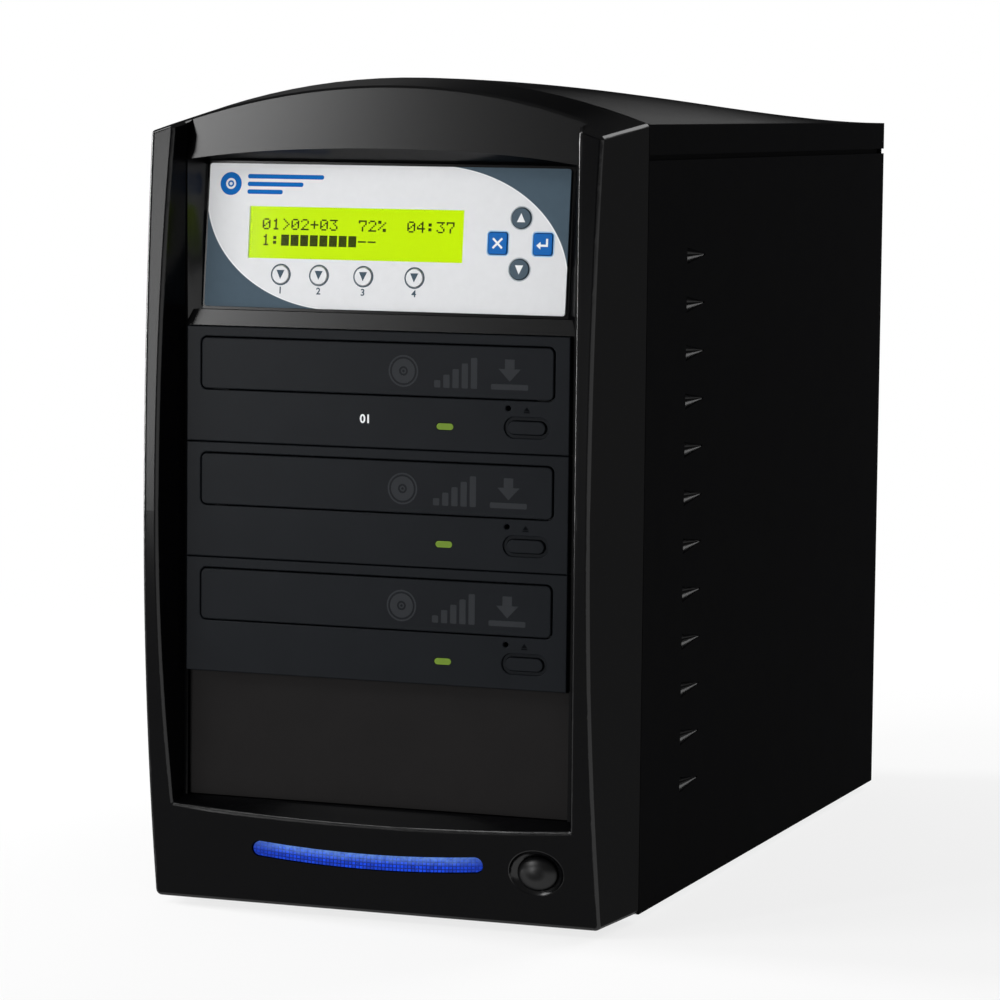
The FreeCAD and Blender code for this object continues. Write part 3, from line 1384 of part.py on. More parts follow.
def rocker_switch():
    """The rocker switch: its frame in the power supply's rear and the rocker on two pins."""
    frame = Piece("psu_switch_frame")
    wall = s.rocker_frame
    y0 = y_rear_inner - s.rocker_room - wall
    y1 = y_rear_inner + wall
    frame.pad("front", y0, y_rear_inner, rectangle(*rocker_span(wall)))
    frame.pad("front", y_rear_inner, y1, rounded(*rocker_span(wall * 2), wall))
    frame.pocket("front", y_rear_inner - s.rocker_room, y1 + s.spare, rectangle(*rocker_span(0)))
    x, z = rocker_across, z_inlet
    half = s.rocker_width / 2
    pin = half + s.rocker_gap + s.pivot_seat
    bearing = s.pivot_radius + s.shaft_gap
    frame.pocket("side", x - pin - s.shaft_gap, x + pin + s.shaft_gap, circle(y_rocker, z, bearing))
    rocker = Piece("psu_rocker")
    rise = s.rocker_height / 2
    deep = s.rocker_depth
    rocker.pad("side", -half, half, [
        (-deep / 2, -rise / 2), (deep / 3, -rise), (deep, -rise), (deep - wall, 0), (deep, rise),
        (deep / 3, rise), (-deep / 2, rise / 2),
    ])
    rocker.pad("side", -pin, pin, circle(0, 0, s.pivot_radius))
    rocker.body.Placement = FreeCAD.Placement(V(), FreeCAD.Rotation(V(1, 0, 0), s.rocker_tilt.value))
    bind(rocker.body, "Placement.Rotation.Angle", s.rocker_tilt)
    place(rocker.body, x, y_rocker, z)


def exhaust_fan():
    """The fan: square frame with a motor plate on four struts, the bladed rotor and a finger guard."""
    half = s.fan_size / 2
    y0, y1 = y_rear_inner - s.fan_depth, y_rear_inner
    frame = block(-half, half, y0, y1, z_fan - half, z_fan + half)
    way = rod("y", 0, y0 - s.spare, z_fan, s.fan_bore_radius, s.fan_depth + s.spare * 2)
    holes = [
        rod("y", x, y0 - s.spare, z, s.screw_radius + s.screw_gap, s.fan_depth + s.spare * 2)
        for x, z in fan_screw_places()
    ]
    plate = rod("y", 0, y0, z_fan, s.fan_hub_radius, s.fan_back)
    post = rod("y", 0, y0, z_fan, s.fan_post_radius, s.fan_back + s.fan_hub_depth / 2)
    strut = s.fan_back
    reach = s.fan_bore_radius + s.spare
    struts = [
        block(-reach, reach, y0, y0 + s.fan_back, z_fan - strut / 2, z_fan + strut / 2),
        block(-strut / 2, strut / 2, y0, y0 + s.fan_back, z_fan - reach, z_fan + reach),
    ]
    node("fan_frame", fuse(cut(frame, way, *holes), plate, post, *struts))

    rotor = Piece("fan_rotor")
    gap = s.key_rest_gap
    hub = s.fan_hub_radius
    bore = s.fan_post_radius + s.fan_post_gap
    deep = s.fan_hub_depth / 2 + gap
    rotor.turn([
        (bore, gap), (hub, gap), (hub, gap + s.fan_hub_depth), (0, gap + s.fan_hub_depth), (0, deep),
        (bore, deep),
    ])
    chord, twist, thick = s.fan_blade_chord, s.fan_blade_twist, s.fan_blade_thick
    middle = gap + s.fan_hub_depth / 2
    swept = s.fan_bore_radius - s.fan_tip_gap
    half_tip = s.fan_tip_chord / 2
    tip = root(swept * swept - half_tip * half_tip)

    def blade_section(x, wide):
        return rotor.drawing("side", x, [
            (-wide / 2, middle - twist / 2), (wide / 2, middle + twist / 2 - thick),
            (wide / 2, middle + twist / 2), (-wide / 2, middle - twist / 2 + thick),
        ])

    blade = rotor.body.newObject("PartDesign::AdditiveLoft", "blade")
    blade.Profile = blade_section(hub - s.fan_tip_gap, chord)
    blade.Sections = [blade_section(tip, s.fan_tip_chord)]
    ring = rotor.body.newObject("PartDesign::PolarPattern", "blades")
    ring.Originals = [blade]
    ring.Axis = (rotor.axis("Z_Axis"), [""])
    ring.Angle = 360
    ring.Occurrences = BLADE_COUNT
    rotor.body.Tip = ring
    rotor.body.Placement = FreeCAD.Placement(V(), FreeCAD.Rotation(V(1, 0, 0), -90))
    place(rotor.body, 0, y0 + s.fan_back, z_fan)

    y_guard = y_rear
    rings = []
    for index in range(GUARD_RING_COUNT):
        outer = s.fan_bore_radius * (index + 1) / GUARD_RING_COUNT
        ring_rod = rod("y", 0, y_guard, z_fan, outer, s.guard_wire)
        rings.append(cut(ring_rod, rod("y", 0, y_guard - s.spare, z_fan, outer - s.guard_ring,
                                       s.guard_wire + s.spare * 2)))
    eyes = [rod("y", x, y_guard, z, s.head_radius, s.guard_wire) for x, z in fan_screw_places()]
    arm = s.fan_hole_reach
    first = s.fan_bore_radius / GUARD_RING_COUNT - s.guard_ring
    arms = []
    for turn in GUARD_ARM_TURNS:
        bar = doc.addObject("Part::Box", "arm")
        bind(bar, "Length", arm * math.sqrt(2) - first)
        bind(bar, "Width", s.guard_wire)
        bind(bar, "Height", s.guard_ring)
        spin = FreeCAD.Rotation(V(0, 1, 0), turn)
        bar.Placement = FreeCAD.Placement(V(), spin)
        out = spin.multVec(V(1, 0, 0))
        up = spin.multVec(V(0, 0, 1))
        place(bar, first * out.x - s.guard_ring / 2 * up.x, y_guard,
              z_fan + first * out.z - s.guard_ring / 2 * up.z)
        arms.append(bar)
    holes = [
        rod("y", x, y_guard - s.spare, z, s.screw_radius + s.screw_gap, s.guard_wire + s.spare * 2)
        for x, z in fan_screw_places()
    ]
    node("fan_guard", cut(fuse(*rings, *eyes, *arms), *holes))


def build():
    front_bezel()
    power_group()
    light_group()
    bay_blank()
    control_panel()
    top_cover()
    side_panel("side_panel_left", -1)
    side_panel("side_panel_right", 1)
    base_pan()
    rear_panel()
    drive_cage()
    controller_board()
    for index in range(DRIVE_COUNT):
        drive_chassis(index)
        drive_face(index)
        drive_deck(index)
        drive_spindle(index)
        drive_tray(index)
        drive_buttons(index)
    drive_screws()
    power_supply()
    power_inlet()
    rocker_switch()
    exhaust_fan()
    case_screws()
    doc.recompute()


def check():
    """Stops on any object that failed to build and on any shape that is empty or not valid."""
    for thing in doc.Objects:
        if "Invalid" in thing.State or "Error" in thing.State:
            raise RuntimeError(f"{thing.Name} ({thing.Label}) failed: {thing.State}")
    for name, made in nodes.items():
        if made.Shape.isNull() or not made.Shape.isValid() or not made.Shape.Solids:
            raise RuntimeError(f"{name} has no valid solid")


def export():
    os.makedirs("parts", exist_ok=True)
    for name, made in nodes.items():
        made.Shape.exportStep(f"parts/{name}.step")


build()
check()
export()
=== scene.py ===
import json
import math
from functools import partial

import bmesh
import bpy
from bpy.props import FloatProperty, FloatVectorProperty, PointerProperty
from mathutils import Matrix, Vector


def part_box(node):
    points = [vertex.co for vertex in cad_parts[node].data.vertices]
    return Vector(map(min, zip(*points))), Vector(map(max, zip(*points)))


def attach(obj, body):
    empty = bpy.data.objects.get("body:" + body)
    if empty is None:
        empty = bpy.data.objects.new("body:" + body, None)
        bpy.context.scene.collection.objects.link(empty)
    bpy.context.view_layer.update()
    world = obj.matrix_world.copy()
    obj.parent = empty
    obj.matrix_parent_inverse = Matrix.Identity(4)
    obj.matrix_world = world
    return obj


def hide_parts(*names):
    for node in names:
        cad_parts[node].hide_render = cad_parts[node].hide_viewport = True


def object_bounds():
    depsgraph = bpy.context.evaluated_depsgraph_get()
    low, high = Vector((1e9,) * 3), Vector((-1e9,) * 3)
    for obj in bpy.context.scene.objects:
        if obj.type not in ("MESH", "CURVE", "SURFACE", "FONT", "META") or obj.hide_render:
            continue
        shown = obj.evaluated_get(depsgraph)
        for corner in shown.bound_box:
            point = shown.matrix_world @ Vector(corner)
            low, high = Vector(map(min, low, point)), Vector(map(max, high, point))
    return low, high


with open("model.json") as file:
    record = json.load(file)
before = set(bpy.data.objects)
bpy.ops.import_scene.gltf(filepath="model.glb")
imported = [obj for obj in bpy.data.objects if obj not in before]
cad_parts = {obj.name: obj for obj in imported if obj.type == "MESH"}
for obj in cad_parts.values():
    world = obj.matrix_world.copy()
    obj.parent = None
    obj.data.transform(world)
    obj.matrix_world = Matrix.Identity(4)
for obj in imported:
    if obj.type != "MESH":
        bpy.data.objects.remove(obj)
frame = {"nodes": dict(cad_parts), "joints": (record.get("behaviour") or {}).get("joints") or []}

bl_info = {
    "name": "Disc duplicator finish",
    "version": (1, 0, 0),
    "blender": (4, 5, 0),
    "location": "View3D > Sidebar > Duplicator",
    "description": "Finishes, printed marks, display, screws and studio for a tower disc duplicator",
    "category": "Object",
}

CAD_LOW, CAD_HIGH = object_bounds()
MM = 0.001


def mm(*values):
    """Lengths given in millimetres."""
    return tuple(value * MM for value in values)


# A hair's breadth, which keeps two faces from lying in one plane
HAIR = 0.05 * MM
UP = Vector((0, 0, 1))
FRONT = Vector((0, -1, 0))
REAR = Vector((0, 1, 0))
# Share of a face's normal along an axis: nearly none, enough to face that way, and nearly all
NONE, TOWARDS, SQUARE = 0.05, 0.5, 0.99
DRIVES = ("drive_1", "drive_2", "drive_3")
ARROW_KEYS = ("key_up", "key_down")
SQUARE_KEYS = ("key_escape", "key_enter")
SHORTCUTS = ("shortcut_key_1", "shortcut_key_2", "shortcut_key_3", "shortcut_key_4")
ROUND_SIDES = 48
CORNER_STEPS = 6

# How far a face turns from the part's axes before it counts as an edge, and when it fully does
MOULDED_TILTS = (math.radians(17), math.radians(24))
SHEET_TILTS = (math.radians(9), math.radians(20))
# Index of refraction of the gloss skin on black pieces
GLOSS_IOR = 2.5

# The strip under the panel: its lean as a share of its height, its foot's reach behind the slope's edge, and
# the height of its back
SILL_LEAN = 0.46
SILL_FOOT, SILL_BACK = mm(0.9, 0.5)

# Signs on a tray door: radii of the disc's rings, the foot that the signs stand on, and the bars
DISC_RINGS = (mm(5.7, 5.1), mm(4.4, 1.7), mm(1.0, 0.5))
SIGN_FOOT = -5.5 * MM
BARS = 5
BAR_FIRST, BAR_GROWTH, BAR_PITCH, BAR_HALF, BAR_CORNER = mm(2.6, 2.1, 3.5, 1.2, 0.4)
# The door's arrow and the eject sign: boxes as height of the middle, half width, half height and corner,
# and triangles as height of the middle, width and rise
TRAY_LINE = mm(-4.5, 7.0, 1.0, 0.5)
TRAY_SHAFT = mm(3.6, 1.8, 1.75)
TRAY_HEAD = mm(-0.3, 8.4, -4.4)
EJECT_LINE = mm(-0.85, 1.15, 0.22)
EJECT_HEAD = mm(0.35, 2.3, 1.5)

# The panel's emblem: radii of its rings, half lengths of its bars, and where the bars stand
EMBLEM_RINGS = (mm(4.2, 2.0), mm(1.2, 0.6))
EMBLEM_BARS = mm(15, 11, 7)
EMBLEM_GAP, EMBLEM_PITCH, EMBLEM_HALF, EMBLEM_CORNER = mm(6.6, 2.8, 0.8, 0.75)

# Keys and their signs: corner of a square key, a triangle's height as a share of its width, an arrow's place
# off its key's middle, reach and half width of the cross's arms, and the bent arrow's corners
KEY_CORNER = 0.9 * MM
TRIANGLE_SHARE = 1.05
ARROW_LIFT = 0.15 * MM
CROSS_REACH, CROSS_HALF = mm(2.1, 0.38)
RETURN_ARROW = (mm(2.0, 2.0), mm(1.2, 2.0), mm(1.2, -0.1), mm(-0.8, -0.1), mm(-0.8, 0.9), mm(-2.4, -0.5),
                mm(-0.8, -1.9), mm(-0.8, -0.9), mm(2.0, -0.9))
# The mains rocker's signs: half width and half height of the bar, and radii of the ring
ROCKER_BAR = mm(0.3, 1.7)
ROCKER_RING = mm(1.7, 1.2)
# A numeral's height as a share of its font's size, and how much its strokes are widened, of its height
NUMERAL_SHARE, BOLD_SHARE = 0.7, 0.035

# The display's characters: seven rows of five dots each
CHARACTERS = {
    "0": "01110 10001 10011 10101 11001 10001 01110",
    "1": "00100 01100 00100 00100 00100 00100 01110",
    "2": "01110 10001 00001 00010 00100 01000 11111",
    "3": "11111 00010 00100 00010 00001 10001 01110",
    "4": "00010 00110 01010 10010 11111 00010 00010",
    "7": "11111 10001 00001 00010 00100 00100 00100",
    ":": "00000 01100 01100 00000 01100 01100 00000",
    ">": "01000 00100 00010 00001 00010 00100 01000",
    "+": "00000 00100 00100 11111 00100 00100 00000",
    "%": "11000 11001 00010 00100 01000 10011 00011",
    "#": "11111 11111 11111 11111 11111 11111 11111",
    "-": "00000 00000 00000 11111 00000 00000 00000",
}
MIDDLE_DOT, MIDDLE_LINE = 2, 3
DISPLAY_ROWS = ("01>02+03  72%  04:37", "1:########--")
# The upper row's height over the window's middle, in rows, and half a dot as a share of the dots' pitch
ROW_LIFT, DOT_HALF = 0.55, 0.49

# A screw: radius of its shank as a share of its head's, height of its head as a share of its length, and the
# head's profile as shares of its radius and of its height under the top
SHANK_SHARE, HEAD_SHARE = 0.5, 0.45
HEAD_PROFILE = ((1.0, 1.0), (1.0, 0.45), (0.94, 0.2), (0.8, 0.05), (0.66, 0.0))
# Its cross recess: reach as a share of the head's radius, the floor's share of it, and depth in heads
RECESS_REACH, RECESS_TAPER, RECESS_DEPTH = 0.52, 0.7, 0.6

# The floor's radius and height in metres, from its middle to the top of the wall round it
FLOOR_PROFILE = ((2.0, 0.0), (8.0, 0.0), (9.5, 0.15), (10.5, 0.6), (11.0, 1.4))
# Distances in metres over which the floor goes from this share of white to all white
FLOOR_FADE = (0.3, 0.9)
FLOOR_WHITE = 0.78
# Each lamp's place and its width and height, in metres
LAMPS = {
    "left_strip": ((-1.5, -0.14, 0.33), (0.25, 1.0)),
    "front_softbox": ((-0.715, -1.55, 0.33), (0.08, 0.65)),
    "top_softbox": ((-1.0, -1.05, 1.3), (0.6, 0.6)),
    "back_softbox": ((-0.5, 1.4, 0.62), (0.7, 0.3)),
    "right_softbox": ((0.49, 1.29, 0.9), (0.9, 0.9)),
}


def linear(code):
    """An sRGB hex colour as linear RGBA."""
    shares = [int(code[at:at + 2], 16) / 255 for at in (1, 3, 5)]
    return tuple(s / 12.92 if s <= 0.04045 else ((s + 0.055) / 1.055) ** 2.4 for s in shares) + (1.0,)


def colour(name, description, code):
    """A colour that a user may change."""
    return FloatVectorProperty(
        name=name, description=description, subtype="COLOR", size=4, min=0.0, max=1.0, default=linear(code))


def length(name, description, millimetres):
    """A length that a user may change."""
    return FloatProperty(
        name=name, description=description, unit="LENGTH", default=millimetres * MM, precision=5)


def angle(name, description, degrees):
    """An angle that a user may change."""
    return FloatProperty(name=name, description=description, subtype="ANGLE", default=math.radians(degrees))


def power(name, description, watts):
    """A lamp's power that a user may change."""
    return FloatProperty(name=name, description=description, unit="POWER", default=watts)


class DuplicatorColours(bpy.types.PropertyGroup):
    """Colours of the duplicator's pieces"""

    abs_black: colour("Bezel", "Moulded front and power button", "#050506")
    blank_black: colour("Blank", "Blank plate of the empty bay", "#1F1E1E")
    steel_black: colour("Steel body", "Powder-coated cover, sides and rear", "#0F0F10")
    drive_grey: colour("Drives", "Drive faces, doors, trays and eject buttons", "#191B1E")
    # The door marks' lighter grey is a painted sheen of their polish
    mark_grey: colour("Drive marks", "Marks moulded on the tray doors", "#2C2E31")
    panel_white: colour("Panel field", "Printed field of the control panel", "#DFE0E2")
    panel_slate: colour("Panel corners", "Printed corners of the control panel", "#465662")
    key_ring: colour("Key rings", "Printed rings round the arrow keys", "#A9B2B8")
    key_blue: colour("Square keys", "Square keys and the panel's emblem", "#0560AE")
    key_blue_ring: colour("Square key frames", "Printed frames round the square keys", "#9CC4E4")
    display_lime: colour("Display", "Back-lit display", "#C5ED00")
    display_ink: colour("Display dots", "Dark dots of the display", "#121803")
    lamp_green: colour("Drive lights", "Drive lights", "#6C8634")
    bar_blue: colour("Light bar", "Deep blue of the light bar", "#0A39BE")
    # The pale colour of the painted highlight streaks along the top of the light bar
    bar_pale: colour("Light bar gleam", "Pale streaks in the light bar", "#78A4EC")
    print_white: colour("White print", "White triangles and numerals", "#EEF0F1")
    zinc: colour("Zinc", "Zinc-coated sheet in and behind the case", "#A6A9AB")
    nickel: colour("Nickel", "Screws, fan guard and inlet pins", "#C9C8C4")
    solder_mask: colour("Circuit boards", "Solder mask of the boards", "#17502E")
    nylon_black: colour("Nylon", "Fan, inlet and switch", "#17171A")
    rubber_black: colour("Rubber", "Feet", "#1A1A1A")


class DuplicatorPrint(bpy.types.PropertyGroup):
    """Sizes and places of printed marks, display dots, screw recesses and the strip under the panel"""

    ink: length("Ink", "Thickness of a printed mark", 0.04)
    field_across: length("Field arc width", "Half width of the arcs that bound the panel's pale field", 52.1)
    field_up: length("Field arc height", "Half height of the arcs that bound the panel's pale field", 40.8)
    field_line: length("Field line", "White line between the panel's field and its corners", 0.5)
    emblem_across: length("Emblem place", "Panel's left edge to the emblem's middle", 8.5)
    emblem_down: length("Emblem drop", "Panel's top edge to the emblem's middle", 7.4)
    key_gap: length("Key gap", "Edge of a key to the ring printed round it", 0.3)
    key_ring: length("Key ring", "Line of the ring printed round a key", 0.4)
    triangle: length("Triangle", "Width of the triangles on the keys", 3.1)
    numeral: length("Numeral", "Height of the panel's numerals", 2.4)
    numeral_drop: length("Numeral drop", "Foot of a key to the middle of its numeral", 2.6)
    cell_across: length("Character width", "Pitch of the display's characters", 3.77)
    cell_up: length("Character height", "Pitch of the display's rows", 5.8)
    dot_across: length("Dot pitch across", "Pitch of the display's dots, across", 0.62)
    dot_up: length("Dot pitch up", "Pitch of the display's dots, up", 0.58)
    disc_away: length("Disc sign", "Right end of a tray door to its disc sign", 57)
    bars_away: length("Bars sign", "Right end of a tray door to its rising bars", 37)
    arrow_away: length("Arrow sign", "Right end of a tray door to its arrow", 16.5)
    sign_drop: length("Sign drop", "Middle of a tray door to the middle of its signs", 0.5)
    eject_lift: length("Eject sign", "Top of an eject button to the sign over it", 4.0)
    source_numeral: length("Source numeral", "Height of the numeral on the drive copied from", 3.0)
    source_away: length("Source place", "Drive light to the numeral on its left", 30.6)
    source_lift: length("Source lift", "Top of the drive light to the numeral's middle", 0.4)
    sill_gap: length("Sill gap", "First drive to the strip under the panel", 0.4)
    recess: length("Screw recess", "Width of a slot in a screw's cross recess", 0.7)


class DuplicatorStage(bpy.types.PropertyGroup):
    """Camera and studio lights"""

    yaw: angle("Yaw", "Camera to the right of the front", 20.10)
    pitch: angle("Pitch", "Camera looking down", 5.54)
    roll: angle("Roll", "Camera's lean", 0.62)
    target: FloatVectorProperty(name="Target", description="Point at the middle of the picture",
                                subtype="TRANSLATION", default=(0.0482, -0.1771, 0.1564))
    distance: length("Distance", "Camera to target", 1468)
    lens: FloatProperty(name="Lens", description="Focal length", unit="CAMERA", default=148.43)
    ambient: FloatProperty(name="Ambient", description="Strength of the light from all round", default=0.18)
    left_strip: power("Left strip", "Power of the strip light on the left", 46.0)
    front_softbox: power("Front softbox", "Power of the tall softbox at the left front", 9.6)
    top_softbox: power("Top softbox", "Power of the softbox over the left front", 11.0)
    back_softbox: power("Back softbox", "Power of the softbox at the left rear", 1.5)
    right_softbox: power("Right softbox", "Power of the softbox at the right rear", 14.0)


def chosen(context):
    """The colours and sizes that are set in a scene."""
    return context.scene.duplicator_colours, context.scene.duplicator_print


# Materials


def add(tree, kind, inputs=None, **settings):
    """Adds a node with its settings. An input gets a value, a socket or another node's first open output."""
    made = tree.nodes.new(f"ShaderNode{kind}")
    for name, value in settings.items():
        setattr(made, name, value)
    for key, value in (inputs or {}).items():
        if isinstance(value, bpy.types.Node):
            value = next(socket for socket in value.outputs if socket.enabled)
        if isinstance(value, bpy.types.NodeSocket):
            tree.links.new(value, made.inputs[key])
        else:
            made.inputs[key].default_value = value
    return made


def begin(name="finish"):
    """A new material, what puts nodes in it, and the place on the part, in metres, as a socket."""
    material = bpy.data.materials.new(name)
    material.use_nodes = True
    material.node_tree.nodes.clear()
    put = partial(add, material.node_tree)
    return material, put, put("TexCoord").outputs["Object"]


def surface(material, inputs):
    """Ends a material with a shader that has these inputs."""
    put = partial(add, material.node_tree)
    shader = put("BsdfPrincipled", inputs)
    put("OutputMaterial", {"Surface": shader})
    return material


def shade(tint, share):
    """A colour made darker or lighter."""
    return tuple(min(part * share, 1.0) for part in tint[:3]) + (1.0,)


def shades(tint, drift):
    """A colour made darker and lighter by a share, for the two sides of a mix."""
    return {"A": shade(tint, 1 - drift), "B": shade(tint, 1 + drift)}


def satin(tint, grain, relief, roughness, specular=0.5, patch=12 * MM, drift=0.12, **sockets):
    """A skin of fine grains of one size, whose tone and gloss drift a little over larger patches."""
    material, put, place = begin()
    tone = put("TexNoise", {"Vector": place, "Scale": 1 / patch, "Detail": 3.0})
    grains = put("TexNoise", {"Vector": place, "Scale": 1 / grain, "Detail": 2.0})
    base = put("Mix", {"Factor": tone, **shades(tint, drift)}, data_type="RGBA")
    gloss = put("MapRange", {
        "Value": tone, "To Min": roughness * (1 - drift), "To Max": roughness * (1 + drift)})
    bump = put("Bump", {"Height": grains, "Distance": relief})
    return surface(material, {
        "Base Color": base, "Roughness": gloss, "Normal": bump, "Specular IOR Level": specular, **sockets})


def polish_edges(material, flat, edge, tilts, roughness):
    """Adds a gloss skin that is stronger on rounded edges and slopes than on faces along the part's axes."""
    tree = material.node_tree
    put = partial(add, tree)
    normal = put("TexCoord").outputs["Normal"]
    parts = put("VectorMath", {0: normal}, operation="ABSOLUTE")
    sides = put("SeparateXYZ", {0: parts})
    level = put("Math", {0: sides.outputs["X"], 1: sides.outputs["Y"]}, operation="MAXIMUM")
    most = put("Math", {0: level, 1: sides.outputs["Z"]}, operation="MAXIMUM")
    skin = put("MapRange", {
        "Value": most, "From Min": math.cos(tilts[0]), "From Max": math.cos(tilts[1]),
        "To Min": flat, "To Max": edge})
    coat = tree.nodes["Principled BSDF"].inputs
    tree.links.new(skin.outputs["Result"], coat["Coat Weight"])
    coat["Coat IOR"].default_value = GLOSS_IOR
    coat["Coat Roughness"].default_value = roughness
    return material


def moulded_black_abs(colours):
    # ABS from a finely etched tool: deep black flats, and edges that handling has polished to bright lines.
    skin = satin(colours.abs_black, grain=0.5 * MM, relief=0.002 * MM, roughness=0.5, specular=0.0)
    return polish_edges(skin, flat=0.03, edge=0.17, tilts=MOULDED_TILTS, roughness=0.19)


def moulded_blank_abs(colours):
    # The blank is ABS with a coarser etch than the bezel: a flat, faintly warm black.
    return satin(colours.blank_black, grain=0.6 * MM, relief=0.006 * MM, roughness=0.5, specular=0.02)


def moulded_button_abs(colours):
    # The button is ABS with a coarser etch, so that its dome gathers light in one soft patch.
    skin = satin(colours.abs_black, grain=0.45 * MM, relief=0.006 * MM, roughness=0.5, specular=0.0)
    return polish_edges(skin, flat=0.06, edge=0.15, tilts=SHEET_TILTS, roughness=0.36)


def powder_coated_steel(colours):
    # Black powder coat baked on steel sheet: matt, with a faint orange peel of about a millimetre.
    skin = satin(colours.steel_black, grain=1.1 * MM, relief=0.004 * MM, roughness=0.6, specular=0.0)
    return polish_edges(skin, flat=0.006, edge=0.1, tilts=SHEET_TILTS, roughness=0.25)


def moulded_drive_abs(colours):
    # Drive faces are ABS with a spark-eroded texture: a slightly blue charcoal that stays matt at any angle.
    # The real grain of 0.1 mm is drawn at 0.4 mm, so that it shows.
    return satin(colours.drive_grey, grain=0.4 * MM, relief=0.01 * MM, roughness=0.55,
                 specular=0.0, **{"Coat Weight": 0.012, "Coat IOR": GLOSS_IOR, "Coat Roughness": 0.3})


def moulded_tray_abs(colours):
    # Disc trays are smoother than the faces, so that discs slide: a low even sheen.
    return satin(colours.drive_grey, grain=0.8 * MM, relief=0.004 * MM, roughness=0.42, specular=0.25)


def moulded_mark(colours):
    # Raised marks on the doors are polished in the tool, and drawn a lighter grey than the grain round them
    # as a painted sheen.
    return satin(colours.mark_grey, grain=0.3 * MM, relief=0.002 * MM, roughness=0.4, specular=0.04)


def sunk_mark(colours):
    # The eject signs are moulded into the face, and are drawn darker than it as painted shade of that
    # recess.
    return satin(shade(colours.drive_grey, 0.35), grain=0.3 * MM, relief=0.002 * MM,
                 roughness=0.5, specular=0.0)


def zinc_coated_steel(colours):
    # Hot-dip zinc freezes in spangles of some millimetres, each with its own tone and gloss.
    material, put, place = begin()
    spangle = put("TexVoronoi", {"Vector": place, "Scale": 1 / (7 * MM), "Randomness": 1.0})
    tone = put("SeparateColor", {"Color": spangle.outputs["Color"]})
    base = put("Mix", {
        "Factor": tone.outputs["Red"], "A": shade(colours.zinc, 0.78), "B": shade(colours.zinc, 1.12),
    }, data_type="RGBA")
    gloss = put("MapRange", {"Value": tone.outputs["Green"], "To Min": 0.3, "To Max": 0.5})
    rolled = put("TexNoise", {"Vector": place, "Scale": 1 / (0.9 * MM), "Detail": 2.0})
    bump = put("Bump", {"Height": rolled, "Distance": 0.004 * MM})
    return surface(material, {"Base Color": base, "Roughness": gloss, "Metallic": 1.0, "Normal": bump})


def nickel_plated_steel(colours):
    # Nickel plate on cold-headed screws: bright and warm, with fine turning marks.
    return satin(colours.nickel, grain=0.25 * MM, relief=0.002 * MM, roughness=0.24,
                 patch=2 * MM, Metallic=1.0)


def moulded_nylon(colours):
    # Glass-filled nylon: black with a slightly streaky, dry surface.
    return satin(colours.nylon_black, grain=0.9 * MM, relief=0.01 * MM, roughness=0.5,
                 specular=0.25, patch=5 * MM, drift=0.2)


def moulded_rubber(colours):
    # Soft rubber feet: dull, with a dusty bloom.
    return satin(colours.rubber_black, grain=0.7 * MM, relief=0.02 * MM, roughness=0.85,
                 specular=0.15, patch=4 * MM, drift=0.25)


def solder_masked_board(colours):
    # Glass-fibre board under green solder mask: copper tracks show as a paler green grid.
    material, put, place = begin()
    tracks = put("TexBrick", {
        "Vector": place, "Scale": 1 / (9 * MM), "Mortar Size": 0.06, "Mortar Smooth": 0.2,
        "Color1": colours.solder_mask, "Color2": shade(colours.solder_mask, 0.8),
        "Mortar": shade(colours.solder_mask, 1.9), "Brick Width": 0.7, "Row Height": 0.22})
    bump = put("Bump", {"Height": tracks.outputs["Fac"], "Distance": 0.03 * MM})
    return surface(material, {"Base Color": tracks.outputs["Color"], "Roughness": 0.35, "Normal": bump})


def printed_polyester(colours, sizes):
    # Polyester film printed on its back: a pale satin field bounded by two arcs, with slate corners.
    material, put, place = begin()
    grid = panel_frame()
    high = span(panel_spots("panel_overlay"))[1]
    spot = put("SeparateXYZ", {"Vector": place})
    drop = put("Math", {0: spot.outputs["Z"], 1: grid.translation.z}, operation="SUBTRACT")
    rise = put("Math", {0: drop, 1: grid.col[1].z}, operation="DIVIDE")
    arcs = []
    for side in (1, -1):
        squares = []
        for along, reach, middle in (
            (spot.outputs["X"], sizes.field_across, high.x - sizes.field_across),
            (rise, sizes.field_up, high.y - sizes.field_up),
        ):
            out = put("Math", {0: along, 1: side / reach, 2: -middle / reach}, operation="MULTIPLY_ADD")
            kept = put("Math", {0: out, 1: 0.0}, operation="MAXIMUM")
            squares.append(put("Math", {0: kept, 1: 2.0}, operation="POWER"))
        arcs.append(put("Math", {0: squares[0], 1: squares[1]}))
    edge = put("Math", {0: arcs[0], 1: arcs[1]}, operation="MAXIMUM")
    line = 2 * sizes.field_line / sizes.field_across
    soft = 0.3 * line
    corner = put("MapRange", {"Value": edge, "From Min": 1 + line, "From Max": 1 + line + soft})
    border = put("MapRange", {"Value": edge, "From Min": 1.0, "From Max": 1 + soft})
    pulp = put("TexNoise", {"Vector": place, "Scale": 1 / (3 * MM), "Detail": 4.0})
    field = put("Mix", {"Factor": pulp, **shades(colours.panel_white, 0.03)}, data_type="RGBA")
    lined = put("Mix", {"Factor": border, "A": field, "B": colours.print_white}, data_type="RGBA")
    slate = put("Mix", {"Factor": pulp, **shades(colours.panel_slate, 0.06)}, data_type="RGBA")
    base = put("Mix", {"Factor": corner, "A": lined, "B": slate}, data_type="RGBA")
    velvet = put("TexNoise", {"Vector": place, "Scale": 1 / (0.4 * MM), "Detail": 2.0})
    bump = put("Bump", {"Height": velvet, "Distance": 0.003 * MM})
    return surface(material, {
        "Base Color": base, "Roughness": 0.45, "Specular IOR Level": 0.05, "Normal": bump})


def panel_ink(tint):
    # Screen-printed ink: even and matt, with a trace of the mesh it was pressed through.
    return satin(tint, grain=0.35 * MM, relief=0.002 * MM, roughness=0.5, specular=0.05,
                 patch=1.5 * MM, drift=0.05)


